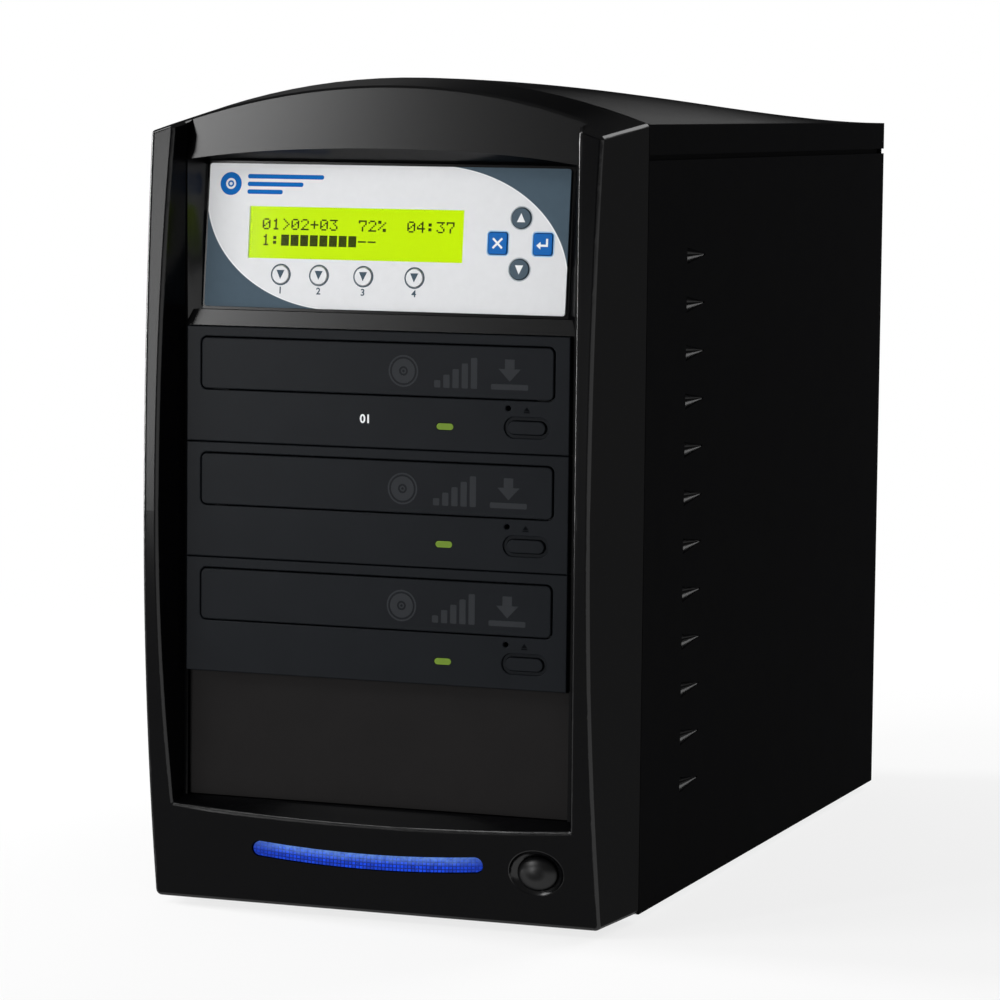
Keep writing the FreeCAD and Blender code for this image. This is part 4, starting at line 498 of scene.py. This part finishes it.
def silicone_key(tint):
    # Keys of silicone rubber with a hard lacquer: a soft gloss with a slight mottling.
    return satin(tint, grain=0.6 * MM, relief=0.003 * MM, roughness=0.38, specular=0.08,
                 patch=3 * MM, drift=0.06)


def clear_acrylic(colours):
    # Acrylic window with a hard coat: nearly unseen, with a trace of the display's tint.
    material, put, place = begin()
    haze = put("TexNoise", {"Vector": place, "Scale": 1 / (6 * MM), "Detail": 2.0})
    clear = put("MapRange", {"Value": haze, "To Min": 0.015, "To Max": 0.03})
    return surface(material, {
        "Base Color": colours.display_lime, "Roughness": 0.08, "IOR": 1.49, "Alpha": clear})


def lit(tint, grain, strength, drift):
    """A diffusing skin with light behind it, a little uneven over grains of one size."""
    material, put, place = begin()
    cloud = put("TexNoise", {"Vector": place, "Scale": 1 / grain, "Detail": 2.0})
    glow = put("Mix", {"Factor": cloud, **shades(tint, drift)}, data_type="RGBA")
    return surface(material, {
        "Base Color": shade(tint, 1 - strength), "Roughness": 0.35, "Specular IOR Level": 0.02,
        "Emission Color": glow, "Emission Strength": strength})


def backlit_display(colours):
    # A back-lit liquid crystal: flat yellow-green light that thins a little away from its lamps.
    return lit(colours.display_lime, grain=30 * MM, strength=0.85, drift=0.04)


def lit_green_lens(colours):
    # A frosted lens over a green lamp: the middle glows through the frosting.
    return lit(colours.lamp_green, grain=2 * MM, strength=0.4, drift=0.1)


def lit_blue_lens(colours):
    # Ribbed polycarbonate over a row of blue lamps: dark joints between lit cells, and pale streaks of lamp
    # glow kept to the top as a painted highlight.
    material, put, place = begin()
    low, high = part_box("light_bar")
    middle, half = (low.x + high.x) / 2, (high.x - low.x) / 2
    spots = [vertex.co for vertex in frame["nodes"]["light_bar"].data.vertices]
    sag = high.z - max(spot.z for spot in spots if abs(spot.x - middle) < half / 8)
    tall = high.z - low.z - sag
    spot = put("SeparateXYZ", {"Vector": place})
    off = put("Math", {0: spot.outputs["X"], 1: middle}, operation="SUBTRACT")
    share = put("Math", {0: off, 1: half}, operation="DIVIDE")
    far = put("Math", {0: share, 1: share}, operation="MULTIPLY")
    bow = put("Math", {0: far, 1: -sag, 2: spot.outputs["Z"]}, operation="MULTIPLY_ADD")
    flat = put("CombineXYZ", {"X": spot.outputs["X"], "Y": bow})
    ribs = put("TexBrick", {
        "Vector": flat, "Scale": 1 / MM, "Brick Width": 1.45, "Row Height": 1.3,
        "Mortar Size": 0.22, "Mortar Smooth": 0.4, "Color1": shade(colours.bar_blue, 0.6),
        "Color2": shade(colours.bar_blue, 1.5), "Mortar": shade(colours.bar_blue, 0.06),
    }, offset=0.0)
    lamps = put("TexNoise", {"Vector": flat, "Scale": 1 / (1.6 * MM), "Detail": 3.0})
    # A painted highlight: the lamps' streaks turn pale only over the upper part of the bar
    upper = put("MapRange", {
        "Value": bow, "From Min": low.z + 0.4 * tall, "From Max": high.z - sag, "To Max": 1.1})
    painted_highlight = put("Math", {0: lamps, 1: upper}, operation="MULTIPLY")
    streaked = put("Mix", {
        "Factor": painted_highlight, "A": ribs.outputs["Color"], "B": colours.bar_pale}, data_type="RGBA")
    ends = put("MapRange", {"Value": far, "From Min": 0.5, "To Max": 0.7})
    glow = put("Mix", {"Factor": ends, "A": streaked, "B": shade(colours.bar_blue, 0.35)}, data_type="RGBA")
    bump = put("Bump", {"Height": ribs.outputs["Fac"], "Distance": 0.05 * MM}, invert=True)
    return surface(material, {
        "Base Color": shade(colours.bar_blue, 0.3), "Roughness": 0.25, "Specular IOR Level": 0.1,
        "Emission Color": glow, "Emission Strength": 0.9, "Normal": bump})


def finish(build, *arguments, name=None):
    """A finish, made once and named for its function, or by a name of its own."""
    name = name or build.__name__
    made = bpy.data.materials.get(name) or build(*arguments)
    made.name = name
    return made


def ink(name, tint):
    """A printing ink of one colour."""
    return finish(panel_ink, tint, name=name)


def dress(material, *names):
    """Gives CAD nodes a finish."""
    for name in names:
        mesh = frame["nodes"][name].data
        mesh.materials.clear()
        mesh.materials.append(material)


# Places


def span(spots):
    """The lowest and highest corners of some points."""
    return Vector(map(min, *spots)), Vector(map(max, *spots))


def facing(place, out):
    """A frame at a place on a surface: across, up and out of it."""
    across = UP.cross(out).normalized()
    return Matrix.Translation(place) @ Matrix((across, out.cross(across), out)).transposed().to_4x4()


def over(name, face, across, up):
    """A frame on a node's front face, across and up from the middle of another node's top."""
    low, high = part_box(name)
    return facing(((low.x + high.x) / 2 + across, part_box(face)[0].y, high.z + up), FRONT)


def panel_frame():
    """The control panel's own frame, in the middle of the overlay's face."""
    axis = next(row["axis"] for row in frame["joints"] if row["name"] == "key_up_press")
    out = -Vector(axis).normalized()
    up = out.cross(Vector((1, 0, 0)))
    low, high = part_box("panel_overlay")
    size = high - low
    # The overlay is a leaning plate, so its thickness follows from its box and its lean
    thick = (size.y * up.z - size.z * up.y) / (up.z ** 2 - up.y ** 2)
    return facing((low + high) / 2 + out * (thick / 2), out)


def panel_spots(name):
    """A node's points in the control panel's frame."""
    turn = panel_frame().inverted()
    return [turn @ vertex.co for vertex in frame["nodes"][name].data.vertices]


def key_span(name):
    """A key's corners without the flange that holds it under the overlay."""
    return span([spot for spot in panel_spots(name) if spot.z > 0])


def display_floor():
    """The floor of the display's pocket, from the panel's face: the level between its back and its frame."""
    return sorted({round(spot.z, 5) for spot in panel_spots("lcd_module")})[1]


# Outlines of marks, across and up


def ring_points(radius, u=0.0, v=0.0, sides=ROUND_SIDES):
    """A circle."""
    turns = [2 * math.pi * step / sides for step in range(sides)]
    return [(u + radius * math.cos(turn), v + radius * math.sin(turn)) for turn in turns]


def box_points(u, v, half_width, half_height, corner=0.0):
    """A rectangle, with round corners if it has any."""
    points = []
    for quarter, (side, rise) in enumerate(((1, 1), (-1, 1), (-1, -1), (1, -1))):
        for step in range(CORNER_STEPS + 1 if corner else 1):
            turn = math.pi / 2 * (quarter + step / CORNER_STEPS)
            points.append((u + side * (half_width - corner) + corner * math.cos(turn),
                           v + rise * (half_height - corner) + corner * math.sin(turn)))
    return points


def triangle_points(u, v, width, rise):
    """An upright triangle about its middle; a negative rise points it down."""
    return [(u - width / 2, v - rise / 2), (u + width / 2, v - rise / 2), (u, v + rise / 2)]


# Meshes


def loop(mesh, where, points, height):
    """Adds a closed row of points at a height over a surface."""
    return [mesh.verts.new(where @ Vector((u, v, height))) for u, v in points]


def bridge(mesh, *loops):
    """Adds the faces between each closed row of points and the next."""
    for first, second in zip(loops, loops[1:]):
        for at in range(len(first)):
            mesh.faces.new((first[at - 1], second[at - 1], second[at], first[at]))


def plate(mesh, where, thick, outline, hole=None, sink=None):
    """Adds a closed flat plate to a mesh, sunk as deep as it stands out unless a sink is given."""
    sink = thick if sink is None else sink
    low, high = loop(mesh, where, outline, -sink), loop(mesh, where, outline, thick)
    if hole:
        bridge(mesh, low, high, loop(mesh, where, hole, thick), loop(mesh, where, hole, -sink), low)
        return
    bridge(mesh, low, high)
    mesh.faces.new(low)
    mesh.faces.new(high)


def numeral(mesh, where, text, height, thick):
    """Adds plain bold numerals to a mesh."""
    letters = bpy.data.curves.new("numeral", "FONT")
    letters.body = text
    letters.size = height / NUMERAL_SHARE
    letters.align_x = "CENTER"
    letters.align_y = "CENTER"
    letters.extrude = thick
    letters.offset = height * BOLD_SHARE
    holder = bpy.data.objects.new("numeral", letters)
    bpy.context.scene.collection.objects.link(holder)
    bpy.context.view_layer.update()
    outline = bpy.data.meshes.new_from_object(holder.evaluated_get(bpy.context.evaluated_depsgraph_get()))
    outline.transform(where)
    mesh.from_mesh(outline)
    bpy.data.objects.remove(holder)
    bpy.data.curves.remove(letters)
    bpy.data.meshes.remove(outline)


def piece(name, mesh, material, body):
    """Turns a mesh into a piece that rides on a body."""
    data = bpy.data.meshes.new(name)
    bmesh.ops.recalc_face_normals(mesh, faces=mesh.faces)
    mesh.to_mesh(data)
    mesh.free()
    data.shade_flat()
    made = bpy.data.objects.new(name, data)
    bpy.context.scene.collection.objects.link(made)
    made.data.materials.append(material)
    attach(made, body)
    return made


class DUPLICATOR_OT_case(bpy.types.Operator):
    """Finish the bezel, covers, rear, feet and light bar, and lay the strip under the panel"""

    bl_idname = "duplicator.case"
    bl_label = "Finish the case"

    def execute(self, context):
        colours, sizes = chosen(context)
        black = finish(moulded_black_abs, colours)
        dress(black, "front_bezel")
        dress(finish(moulded_blank_abs, colours), "bay_blank")
        dress(finish(moulded_button_abs, colours), "power_button")
        dress(finish(lit_blue_lens, colours), "light_bar")
        dress(finish(powder_coated_steel, colours),
              "top_cover", "side_panel_left", "side_panel_right", "rear_panel")
        dress(finish(moulded_rubber, colours), "rubber_feet")
        dress(finish(nickel_plated_steel, colours), "fan_guard")
        self.sill(black, sizes.sill_gap)
        return {"FINISHED"}

    @staticmethod
    def sill(material, gap):
        """The leaning strip from the panel down to the first drive, over the bezel's own slope there."""
        data = frame["nodes"]["front_bezel"].data
        drive_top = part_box("drive_1_face")[1].z
        panel_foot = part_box("panel_overlay")[0].z
        spots = []
        for face in data.polygons:
            x, y, z = face.normal
            slopes = abs(x) < NONE and y < -TOWARDS and z > TOWARDS
            if slopes and drive_top < face.center.z < panel_foot:
                spots += [data.vertices[index].co for index in face.vertices]
        low, high = span(spots)
        narrow = max(spot.x for spot in spots if spot.z > high.z - HAIR)
        flare = (high.x - narrow) / (high.y - low.y)
        foot, top = drive_top + gap, high.z - 2 * HAIR
        front = low.y - SILL_LEAN * (low.z - foot) - HAIR
        back = high.y - 3 * HAIR
        section = [(front + SILL_LEAN * (top - foot), top), (front, foot), (low.y + SILL_FOOT, foot),
                   (back, top - SILL_BACK), (back, top)]
        mesh = bmesh.new()
        ends = [[mesh.verts.new((side * (narrow + (high.y - y) * flare), y, z)) for y, z in section]
                for side in (-1, 1)]
        bridge(mesh, *ends)
        for end in ends:
            mesh.faces.new(end)
        piece("panel_sill", mesh, material, "case")


class DUPLICATOR_OT_inside(bpy.types.Operator):
    """Finish the base and what the case holds: cage, boards, power supply, fan and drive insides"""

    bl_idname = "duplicator.inside"
    bl_label = "Finish the inside"

    def execute(self, context):
        colours = chosen(context)[0]
        dress(finish(zinc_coated_steel, colours), "base_pan", "drive_cage", "psu_case",
              *(f"{drive}_chassis" for drive in DRIVES))
        dress(finish(solder_masked_board, colours),
              "controller_board", "keypad_board", "light_board", "power_switch", "psu_board")
        dress(finish(moulded_nylon, colours),
              "fan_frame", "fan_rotor", "psu_inlet", "psu_rocker", "psu_switch_frame")
        dress(finish(moulded_tray_abs, colours), *(f"{drive}_deck" for drive in DRIVES))
        dress(finish(nickel_plated_steel, colours), *(f"{drive}_spindle" for drive in DRIVES))
        return {"FINISHED"}


class DUPLICATOR_OT_drives(bpy.types.Operator):
    """Finish the drives and add the marks on their doors and faces"""

    bl_idname = "duplicator.drives"
    bl_label = "Finish the drives"

    def execute(self, context):
        colours, sizes = chosen(context)
        for drive in DRIVES:
            dress(finish(moulded_drive_abs, colours),
                  f"{drive}_face", f"{drive}_tray_door", f"{drive}_eject_button")
            dress(finish(moulded_tray_abs, colours), f"{drive}_tray")
            dress(finish(lit_green_lens, colours), f"{drive}_light")
            # The door marks are drawn lighter than the face, a painted sheen
            self.door_marks(drive, finish(moulded_mark, colours), sizes)
            # The eject sign is drawn darker than the face, as painted shade of its recess
            self.eject_mark(drive, finish(sunk_mark, colours), sizes)
        self.source_numeral(ink("white_ink", colours.print_white), sizes)
        return {"FINISHED"}

    @staticmethod
    def door_marks(drive, material, sizes):
        """Three plain signs near the right end of a door: a disc, rising bars and an arrow into a tray."""
        low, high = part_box(f"{drive}_tray_door")
        at = facing((0, low.y, (low.z + high.z) / 2 - sizes.sign_drop), FRONT)
        disc, bars, tray = (high.x - away for away in (sizes.disc_away, sizes.bars_away, sizes.arrow_away))
        mesh = bmesh.new()
        for outer, inner in DISC_RINGS:
            plate(mesh, at, sizes.ink, ring_points(outer, disc), ring_points(inner, disc))
        for step in range(BARS):
            half = (BAR_FIRST + BAR_GROWTH * step) / 2
            u = bars + (step - BARS // 2) * BAR_PITCH
            plate(mesh, at, sizes.ink, box_points(u, SIGN_FOOT + half, BAR_HALF, half, BAR_CORNER))
        plate(mesh, at, sizes.ink, box_points(tray, *TRAY_LINE))
        plate(mesh, at, sizes.ink, triangle_points(tray, *TRAY_HEAD))
        plate(mesh, at, sizes.ink, box_points(tray, *TRAY_SHAFT))
        piece(f"{drive}_door_marks", mesh, material, f"{drive}_tray")

    @staticmethod
    def eject_mark(drive, material, sizes):
        """The eject sign over the button: a triangle on a bar."""
        at = over(f"{drive}_eject_button", f"{drive}_face", 0, sizes.eject_lift)
        mesh = bmesh.new()
        plate(mesh, at, sizes.ink, triangle_points(0, *EJECT_HEAD))
        plate(mesh, at, sizes.ink, box_points(0, *EJECT_LINE))
        piece(f"{drive}_eject_sign", mesh, material, "case")

    @staticmethod
    def source_numeral(material, sizes):
        """The numeral of the drive that is copied from."""
        at = over("drive_1_light", "drive_1_face", -sizes.source_away, sizes.source_lift)
        mesh = bmesh.new()
        numeral(mesh, at, "01", sizes.source_numeral, sizes.ink)
        piece("drive_1_numeral", mesh, material, "case")


class DUPLICATOR_OT_panel(bpy.types.Operator):
    """Finish the control panel and add its printed rings, numerals and emblem"""

    bl_idname = "duplicator.panel"
    bl_label = "Finish the control panel"

    def execute(self, context):
        colours, sizes = chosen(context)
        dress(finish(printed_polyester, colours, sizes), "panel_overlay")
        dress(finish(clear_acrylic, colours), "lcd_window")
        dress(finish(backlit_display, colours), "lcd_module")
        grid = panel_frame()
        for name, keys, tint in (
            ("arrow_key_rings", ARROW_KEYS, colours.key_ring),
            ("square_key_rings", SQUARE_KEYS, colours.key_blue_ring),
            ("shortcut_key_rings", SHORTCUTS, colours.panel_slate),
        ):
            rings = bmesh.new()
            for key in keys:
                plate(rings, grid, sizes.ink, self.key_outline(key, sizes.key_gap + sizes.key_ring),
                      self.key_outline(key, sizes.key_gap))
            piece(name, rings, ink(name.replace("rings", "ink"), tint), "case")
        labels = bmesh.new()
        for index, name in enumerate(SHORTCUTS, start=1):
            low, high = key_span(name)
            spot = Matrix.Translation(((low.x + high.x) / 2, low.y - sizes.numeral_drop, 0))
            numeral(labels, grid @ spot, str(index), sizes.numeral, sizes.ink)
        slate = ink("slate_ink", colours.panel_slate)
        piece("shortcut_numerals", labels, slate, "case")
        self.emblem(grid, ink("blue_ink", colours.key_blue), sizes)
        return {"FINISHED"}

    @staticmethod
    def key_outline(name, grow):
        """The outline of a key's top, grown all round."""
        low, high = key_span(name)
        u, v = (low.x + high.x) / 2, (low.y + high.y) / 2
        half, tall = (high.x - low.x) / 2 + grow, (high.y - low.y) / 2 + grow
        if name in SQUARE_KEYS:
            return box_points(u, v, half, tall, KEY_CORNER + grow)
        return ring_points(half, u, v)

    @staticmethod
    def emblem(grid, material, sizes):
        """A plain sign over the display: a disc and three bars."""
        low, high = span(panel_spots("panel_overlay"))
        u, v = low.x + sizes.emblem_across, high.y - sizes.emblem_down
        mesh = bmesh.new()
        for outer, inner in EMBLEM_RINGS:
            plate(mesh, grid, sizes.ink, ring_points(outer, u, v), ring_points(inner, u, v))
        for step, half in enumerate(EMBLEM_BARS):
            rise = (1 - step) * EMBLEM_PITCH
            bar = box_points(u + EMBLEM_GAP + half, v + rise, half, EMBLEM_HALF, EMBLEM_CORNER)
            plate(mesh, grid, sizes.ink, bar)
        piece("panel_emblem", mesh, material, "case")


class DUPLICATOR_OT_keys(bpy.types.Operator):
    """Finish the keys and add the sign on each of them"""

    bl_idname = "duplicator.keys"
    bl_label = "Finish the keys"

    def execute(self, context):
        colours, sizes = chosen(context)
        white = ink("white_ink", colours.print_white)
        slate = ink("slate_ink", colours.panel_slate)
        dress(finish(silicone_key, colours.panel_slate, name="slate_silicone"), *ARROW_KEYS)
        dress(finish(silicone_key, colours.key_blue, name="blue_silicone"), *SQUARE_KEYS)
        dress(finish(silicone_key, colours.panel_white, name="white_silicone"), *SHORTCUTS)
        wide, tall = sizes.triangle, sizes.triangle * TRIANGLE_SHARE
        signs = {
            "key_up": (white, triangle_points(0, ARROW_LIFT, wide, tall)),
            "key_down": (white, triangle_points(0, -ARROW_LIFT, wide, -tall)),
            "key_escape": (white, self.cross()),
            "key_enter": (white, RETURN_ARROW),
        }
        for name in SHORTCUTS:
            signs[name] = (slate, triangle_points(0, 0, wide, -tall))
        for name, (material, outline) in signs.items():
            mesh = bmesh.new()
            plate(mesh, self.top(name), sizes.ink, outline)
            piece(f"{name}_sign", mesh, material, name)
        return {"FINISHED"}

    @staticmethod
    def top(name):
        """The frame of a key's top."""
        low, high = key_span(name)
        return panel_frame() @ Matrix.Translation(((low.x + high.x) / 2, (low.y + high.y) / 2, high.z))

    @staticmethod
    def cross():
        """A saltire for the key that goes back."""
        a, b = CROSS_HALF * math.sqrt(2), CROSS_REACH / math.sqrt(2)
        return [(0, a), (b, b + a), (b + a, b), (a, 0), (b + a, -b), (b, -b - a),
                (0, -a), (-b, -b - a), (-b - a, -b), (-a, 0), (-b - a, b), (-b, b + a)]


class DUPLICATOR_OT_display(bpy.types.Operator):
    """Add the display's dark dots: a count, a time and a bar of progress"""

    bl_idname = "duplicator.display"
    bl_label = "Add the display's dots"

    def execute(self, context):
        colours, sizes = chosen(context)
        low, high = span(panel_spots("lcd_window"))
        middle = (low + high) / 2
        left = middle.x - (len(DISPLAY_ROWS[0]) - 1) / 2 * sizes.cell_across
        grid = panel_frame() @ Matrix.Translation((0, 0, display_floor()))
        mesh = bmesh.new()
        for row, text in enumerate(DISPLAY_ROWS):
            for column, character in enumerate(text):
                u = left + column * sizes.cell_across
                v = middle.y + (ROW_LIFT - row) * sizes.cell_up
                for across, up in self.dots(character):
                    dot = box_points(u + across * sizes.dot_across, v + up * sizes.dot_up,
                                     sizes.dot_across * DOT_HALF, sizes.dot_up * DOT_HALF)
                    plate(mesh, grid, sizes.ink, dot, sink=0.0)
        piece("display_dots", mesh, ink("display_ink", colours.display_ink), "case")
        return {"FINISHED"}

    @staticmethod
    def dots(character):
        """Where a character has dots, counted from its middle; a space has none."""
        lines = CHARACTERS[character].split() if character != " " else []
        return [(across - MIDDLE_DOT, MIDDLE_LINE - down) for down, line in enumerate(lines)
                for across, dot in enumerate(line) if dot == "1"]


class DUPLICATOR_OT_screws(bpy.types.Operator):
    """Replace the plain screws with cross-recess ones, and add the inlet's pins and the rocker's signs"""

    bl_idname = "duplicator.screws"
    bl_label = "Add screws and pins"

    def execute(self, context):
        colours, sizes = chosen(context)
        nickel = finish(nickel_plated_steel, colours)
        for name in ("case_screws", "drive_screws"):
            mesh = bmesh.new()
            solids = bmesh.new()
            solids.from_mesh(frame["nodes"][name].data)
            for low, high in self.islands(solids):
                self.screw(mesh, low, high, sizes.recess)
            made = piece(f"{name}_pan_head", mesh, nickel, "case")
            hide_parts(name)
        self.pins(nickel)
        self.rocker_signs(ink("white_ink", colours.print_white), sizes.ink)
        return {"FINISHED"}

    def pins(self, nickel):
        """Metal skins over the inlet's three pins, from the floor of its socket to their tips."""
        data = frame["nodes"]["psu_inlet"].data
        levels = sorted({round(face.center.y, 5) for face in data.polygons if face.normal.y > SQUARE})
        # The rearmost level is the socket's rim
        floor, tip = levels[-3], levels[-2]
        tips = bmesh.new()
        tips.from_mesh(data)
        others = [face for face in tips.faces
                  if face.normal.y < SQUARE or abs(face.calc_center_median().y - tip) > HAIR]
        bmesh.ops.delete(tips, geom=others, context="FACES")
        boxes = self.islands(tips)
        if len(boxes) != 3:
            raise RuntimeError(f"the inlet shows {len(boxes)} pins, not 3")
        mesh = bmesh.new()
        for low, high in boxes:
            half = (high - low) / 2
            plate(mesh, facing((low + high) / 2, REAR), HAIR,
                  box_points(0, 0, half.x + HAIR, half.z + HAIR), sink=tip - floor)
        piece("inlet_pins", mesh, nickel, "case")

    @staticmethod
    def rocker_signs(white, thick):
        """A bar and a ring on the two broad faces of the rocker, the ring on the lower one."""
        data = frame["nodes"]["psu_rocker"].data
        faces = {}
        for face in data.polygons:
            if face.normal.y > TOWARDS:
                faces.setdefault(tuple(round(part, 2) for part in face.normal), []).append(face)
        places = []
        for group in sorted(faces.values(), key=lambda group: sum(face.area for face in group))[-2:]:
            low, high = span([data.vertices[index].co for face in group for index in face.vertices])
            places.append(facing((low + high) / 2, group[0].normal))
        lower, upper = sorted(places, key=lambda place: place.translation.z)
        mesh = bmesh.new()
        plate(mesh, upper, thick, box_points(0, 0, *ROCKER_BAR), sink=thick / 2)
        plate(mesh, lower, thick, *map(ring_points, ROCKER_RING), sink=thick / 2)
        piece("psu_rocker_signs", mesh, white, "psu_rocker")

    @staticmethod
    def islands(mesh):
        """The box of each separate shell in a mesh, which is freed."""
        bmesh.ops.remove_doubles(mesh, verts=mesh.verts, dist=0.001 * MM)
        left = set(mesh.verts)
        boxes = []
        while left:
            edge = [left.pop()]
            group = []
            while edge:
                spot = edge.pop()
                group.append(spot.co.copy())
                near = {link.other_vert(spot) for link in spot.link_edges} & left
                left -= near
                edge.extend(near)
            boxes.append(span(group))
        mesh.free()
        return sorted(boxes, key=lambda box: tuple(box[0]))

    @staticmethod
    def screw(mesh, low, high, recess):
        """A pan head with a cross recess in the box of a plain screw, its shank towards the case."""
        size, top = high - low, (low + high) / 2
        along = 0 if size.x < size.y else 1
        outward = Vector((0, 0, 0))
        outward[along] = math.copysign(1, top[along])
        top[along] = high[along] if outward[along] > 0 else low[along]
        at = facing(top, outward)
        deep, radius = size[along], size.z / 2
        head = deep * HEAD_SHARE
        profile = [(SHANK_SHARE, deep), (SHANK_SHARE, head)]
        profile += [(share, head * depth) for share, depth in HEAD_PROFILE]
        rings = [loop(mesh, at, ring_points(radius * share, sides=ROUND_SIDES // 2), -depth)
                 for share, depth in profile]
        bridge(mesh, *rings)
        mesh.faces.new(rings[0])
        arm, half = radius * RECESS_REACH, recess / 2
        cross = [(arm, -half), (arm, half), (half, half), (half, arm), (-half, arm), (-half, half),
                 (-arm, half), (-arm, -half), (-half, -half), (-half, -arm), (half, -arm), (half, -half)]
        mouth = loop(mesh, at, cross, 0)
        narrowed = [(u * RECESS_TAPER, v * RECESS_TAPER) for u, v in cross]
        floor = loop(mesh, at, narrowed, -head * RECESS_DEPTH)
        rim = []
        for row in (mouth, rings[-1]):
            rim += [mesh.edges.get(ends) or mesh.edges.new(ends) for ends in zip(row, row[1:] + row[:1])]
        bmesh.ops.triangle_fill(mesh, edges=rim, use_beauty=True)
        bridge(mesh, mouth, floor)
        mesh.faces.new(floor)


class DUPLICATOR_OT_stage(bpy.types.Operator):
    """Set up the floor, the surroundings, the lights and the camera"""

    bl_idname = "duplicator.stage"
    bl_label = "Set the stage"

    def execute(self, context):
        scene = context.scene
        stage = scene.duplicator_stage
        scene.view_settings.view_transform = "Standard"
        self.surroundings(scene, stage)
        self.floor(scene)
        for name in LAMPS:
            self.lamp(scene, name, getattr(stage, name))
        self.camera(scene, stage)
        return {"FINISHED"}

    @staticmethod
    def surroundings(scene, stage):
        """A plain even light from all round."""
        scene.world = bpy.data.worlds.new("studio")
        scene.world.use_nodes = True
        scene.world.node_tree.nodes.clear()
        put = partial(add, scene.world.node_tree)
        light = put("Background", {"Color": (1, 1, 1, 1), "Strength": stage.ambient})
        put("OutputWorld", {"Surface": light})

    @staticmethod
    def floor(scene):
        """A pale round floor with a low wall far off: it takes a shadow and is white elsewhere."""
        material, put, place = begin("pale_floor")
        mesh = bmesh.new()
        ground = Matrix.Translation((0, 0, CAD_LOW.z))
        rings = [loop(mesh, ground, ring_points(radius), rise) for radius, rise in FLOOR_PROFILE]
        mesh.faces.new(rings[0])
        bridge(mesh, *rings)
        data = bpy.data.meshes.new("floor")
        mesh.to_mesh(data)
        mesh.free()
        floor = bpy.data.objects.new("floor", data)
        scene.collection.objects.link(floor)
        path = put("LightPath").outputs
        away = put("VectorMath", {0: place}, operation="LENGTH")
        whiteness = put("MapRange", {
            "Value": away.outputs["Value"], "From Min": FLOOR_FADE[0], "From Max": FLOOR_FADE[1],
            "To Min": FLOOR_WHITE, "To Max": 1.0}, interpolation_type="SMOOTHSTEP")
        straight = put("Math", {0: path["Is Camera Ray"], 1: whiteness}, operation="MULTIPLY")
        mirrored = put("Math", {
            0: path["Is Glossy Ray"], 1: path["Is Transmission Ray"]}, operation="MAXIMUM")
        plain = put("Math", {0: straight, 1: mirrored}, operation="MAXIMUM")
        pale = put("BsdfDiffuse", {"Color": linear("#F4F4F4")})
        white = put("Emission", {"Color": (1, 1, 1, 1), "Strength": 1.0})
        mixed = put("MixShader", {0: plain, 1: pale, 2: white})
        put("OutputMaterial", {"Surface": mixed})
        data.materials.append(material)

    @staticmethod
    def lamp(scene, name, watts):
        """An unseen softbox. One before the object faces its front, and one behind faces its middle."""
        place, size = LAMPS[name]
        target = (CAD_LOW + CAD_HIGH) / 2
        if place[1] < target.y:
            target.y = CAD_LOW.y
        data = bpy.data.lights.new(name, "AREA")
        data.shape = "RECTANGLE"
        data.size, data.size_y = size
        data.energy = watts
        lamp = bpy.data.objects.new(name, data)
        lamp.location = place
        lamp.rotation_euler = (Vector(place) - target).to_track_quat("Z", "Y").to_euler()
        lamp.visible_camera = False
        scene.collection.objects.link(lamp)

    @staticmethod
    def camera(scene, stage):
        """The camera, turned about its target and set back from it."""
        data = bpy.data.cameras.new("camera")
        data.lens = stage.lens
        data.sensor_width = 36.0
        camera = bpy.data.objects.new("camera", data)
        camera.matrix_world = (
            Matrix.Translation(stage.target) @ Matrix.Rotation(stage.yaw, 4, "Z")
            @ Matrix.Rotation(math.pi / 2 - stage.pitch, 4, "X") @ Matrix.Rotation(stage.roll, 4, "Z")
            @ Matrix.Translation((0, 0, stage.distance)))
        scene.collection.objects.link(camera)
        scene.camera = camera


class DUPLICATOR_PT_finish(bpy.types.Panel):
    """The duplicator's steps, in order"""

    bl_idname = "DUPLICATOR_PT_finish"
    bl_label = "Disc duplicator"
    bl_space_type = "VIEW_3D"
    bl_region_type = "UI"
    bl_category = "Duplicator"

    def draw(self, context):
        for step in STEPS:
            self.layout.operator(step.bl_idname)
        for group in GROUPS:
            settings = getattr(context.scene, group)
            for name in settings.__annotations__:
                self.layout.prop(settings, name)


STEPS = (
    DUPLICATOR_OT_case, DUPLICATOR_OT_inside, DUPLICATOR_OT_drives, DUPLICATOR_OT_panel, DUPLICATOR_OT_keys,
    DUPLICATOR_OT_display, DUPLICATOR_OT_screws, DUPLICATOR_OT_stage,
)
GROUPS = {
    "duplicator_colours": DuplicatorColours,
    "duplicator_print": DuplicatorPrint,
    "duplicator_stage": DuplicatorStage,
}
CLASSES = (*GROUPS.values(), *STEPS, DUPLICATOR_PT_finish)


def register():
    for kind in CLASSES:
        bpy.utils.register_class(kind)
    for name, kind in GROUPS.items():
        setattr(bpy.types.Scene, name, PointerProperty(type=kind))


def unregister():
    for name in GROUPS:
        delattr(bpy.types.Scene, name)
    for kind in reversed(CLASSES):
        bpy.utils.unregister_class(kind)


def main():
    register()
    for step in STEPS:
        area, name = step.bl_idname.split(".")
        getattr(getattr(bpy.ops, area), name)()


if __name__ == "__main__":
    main()
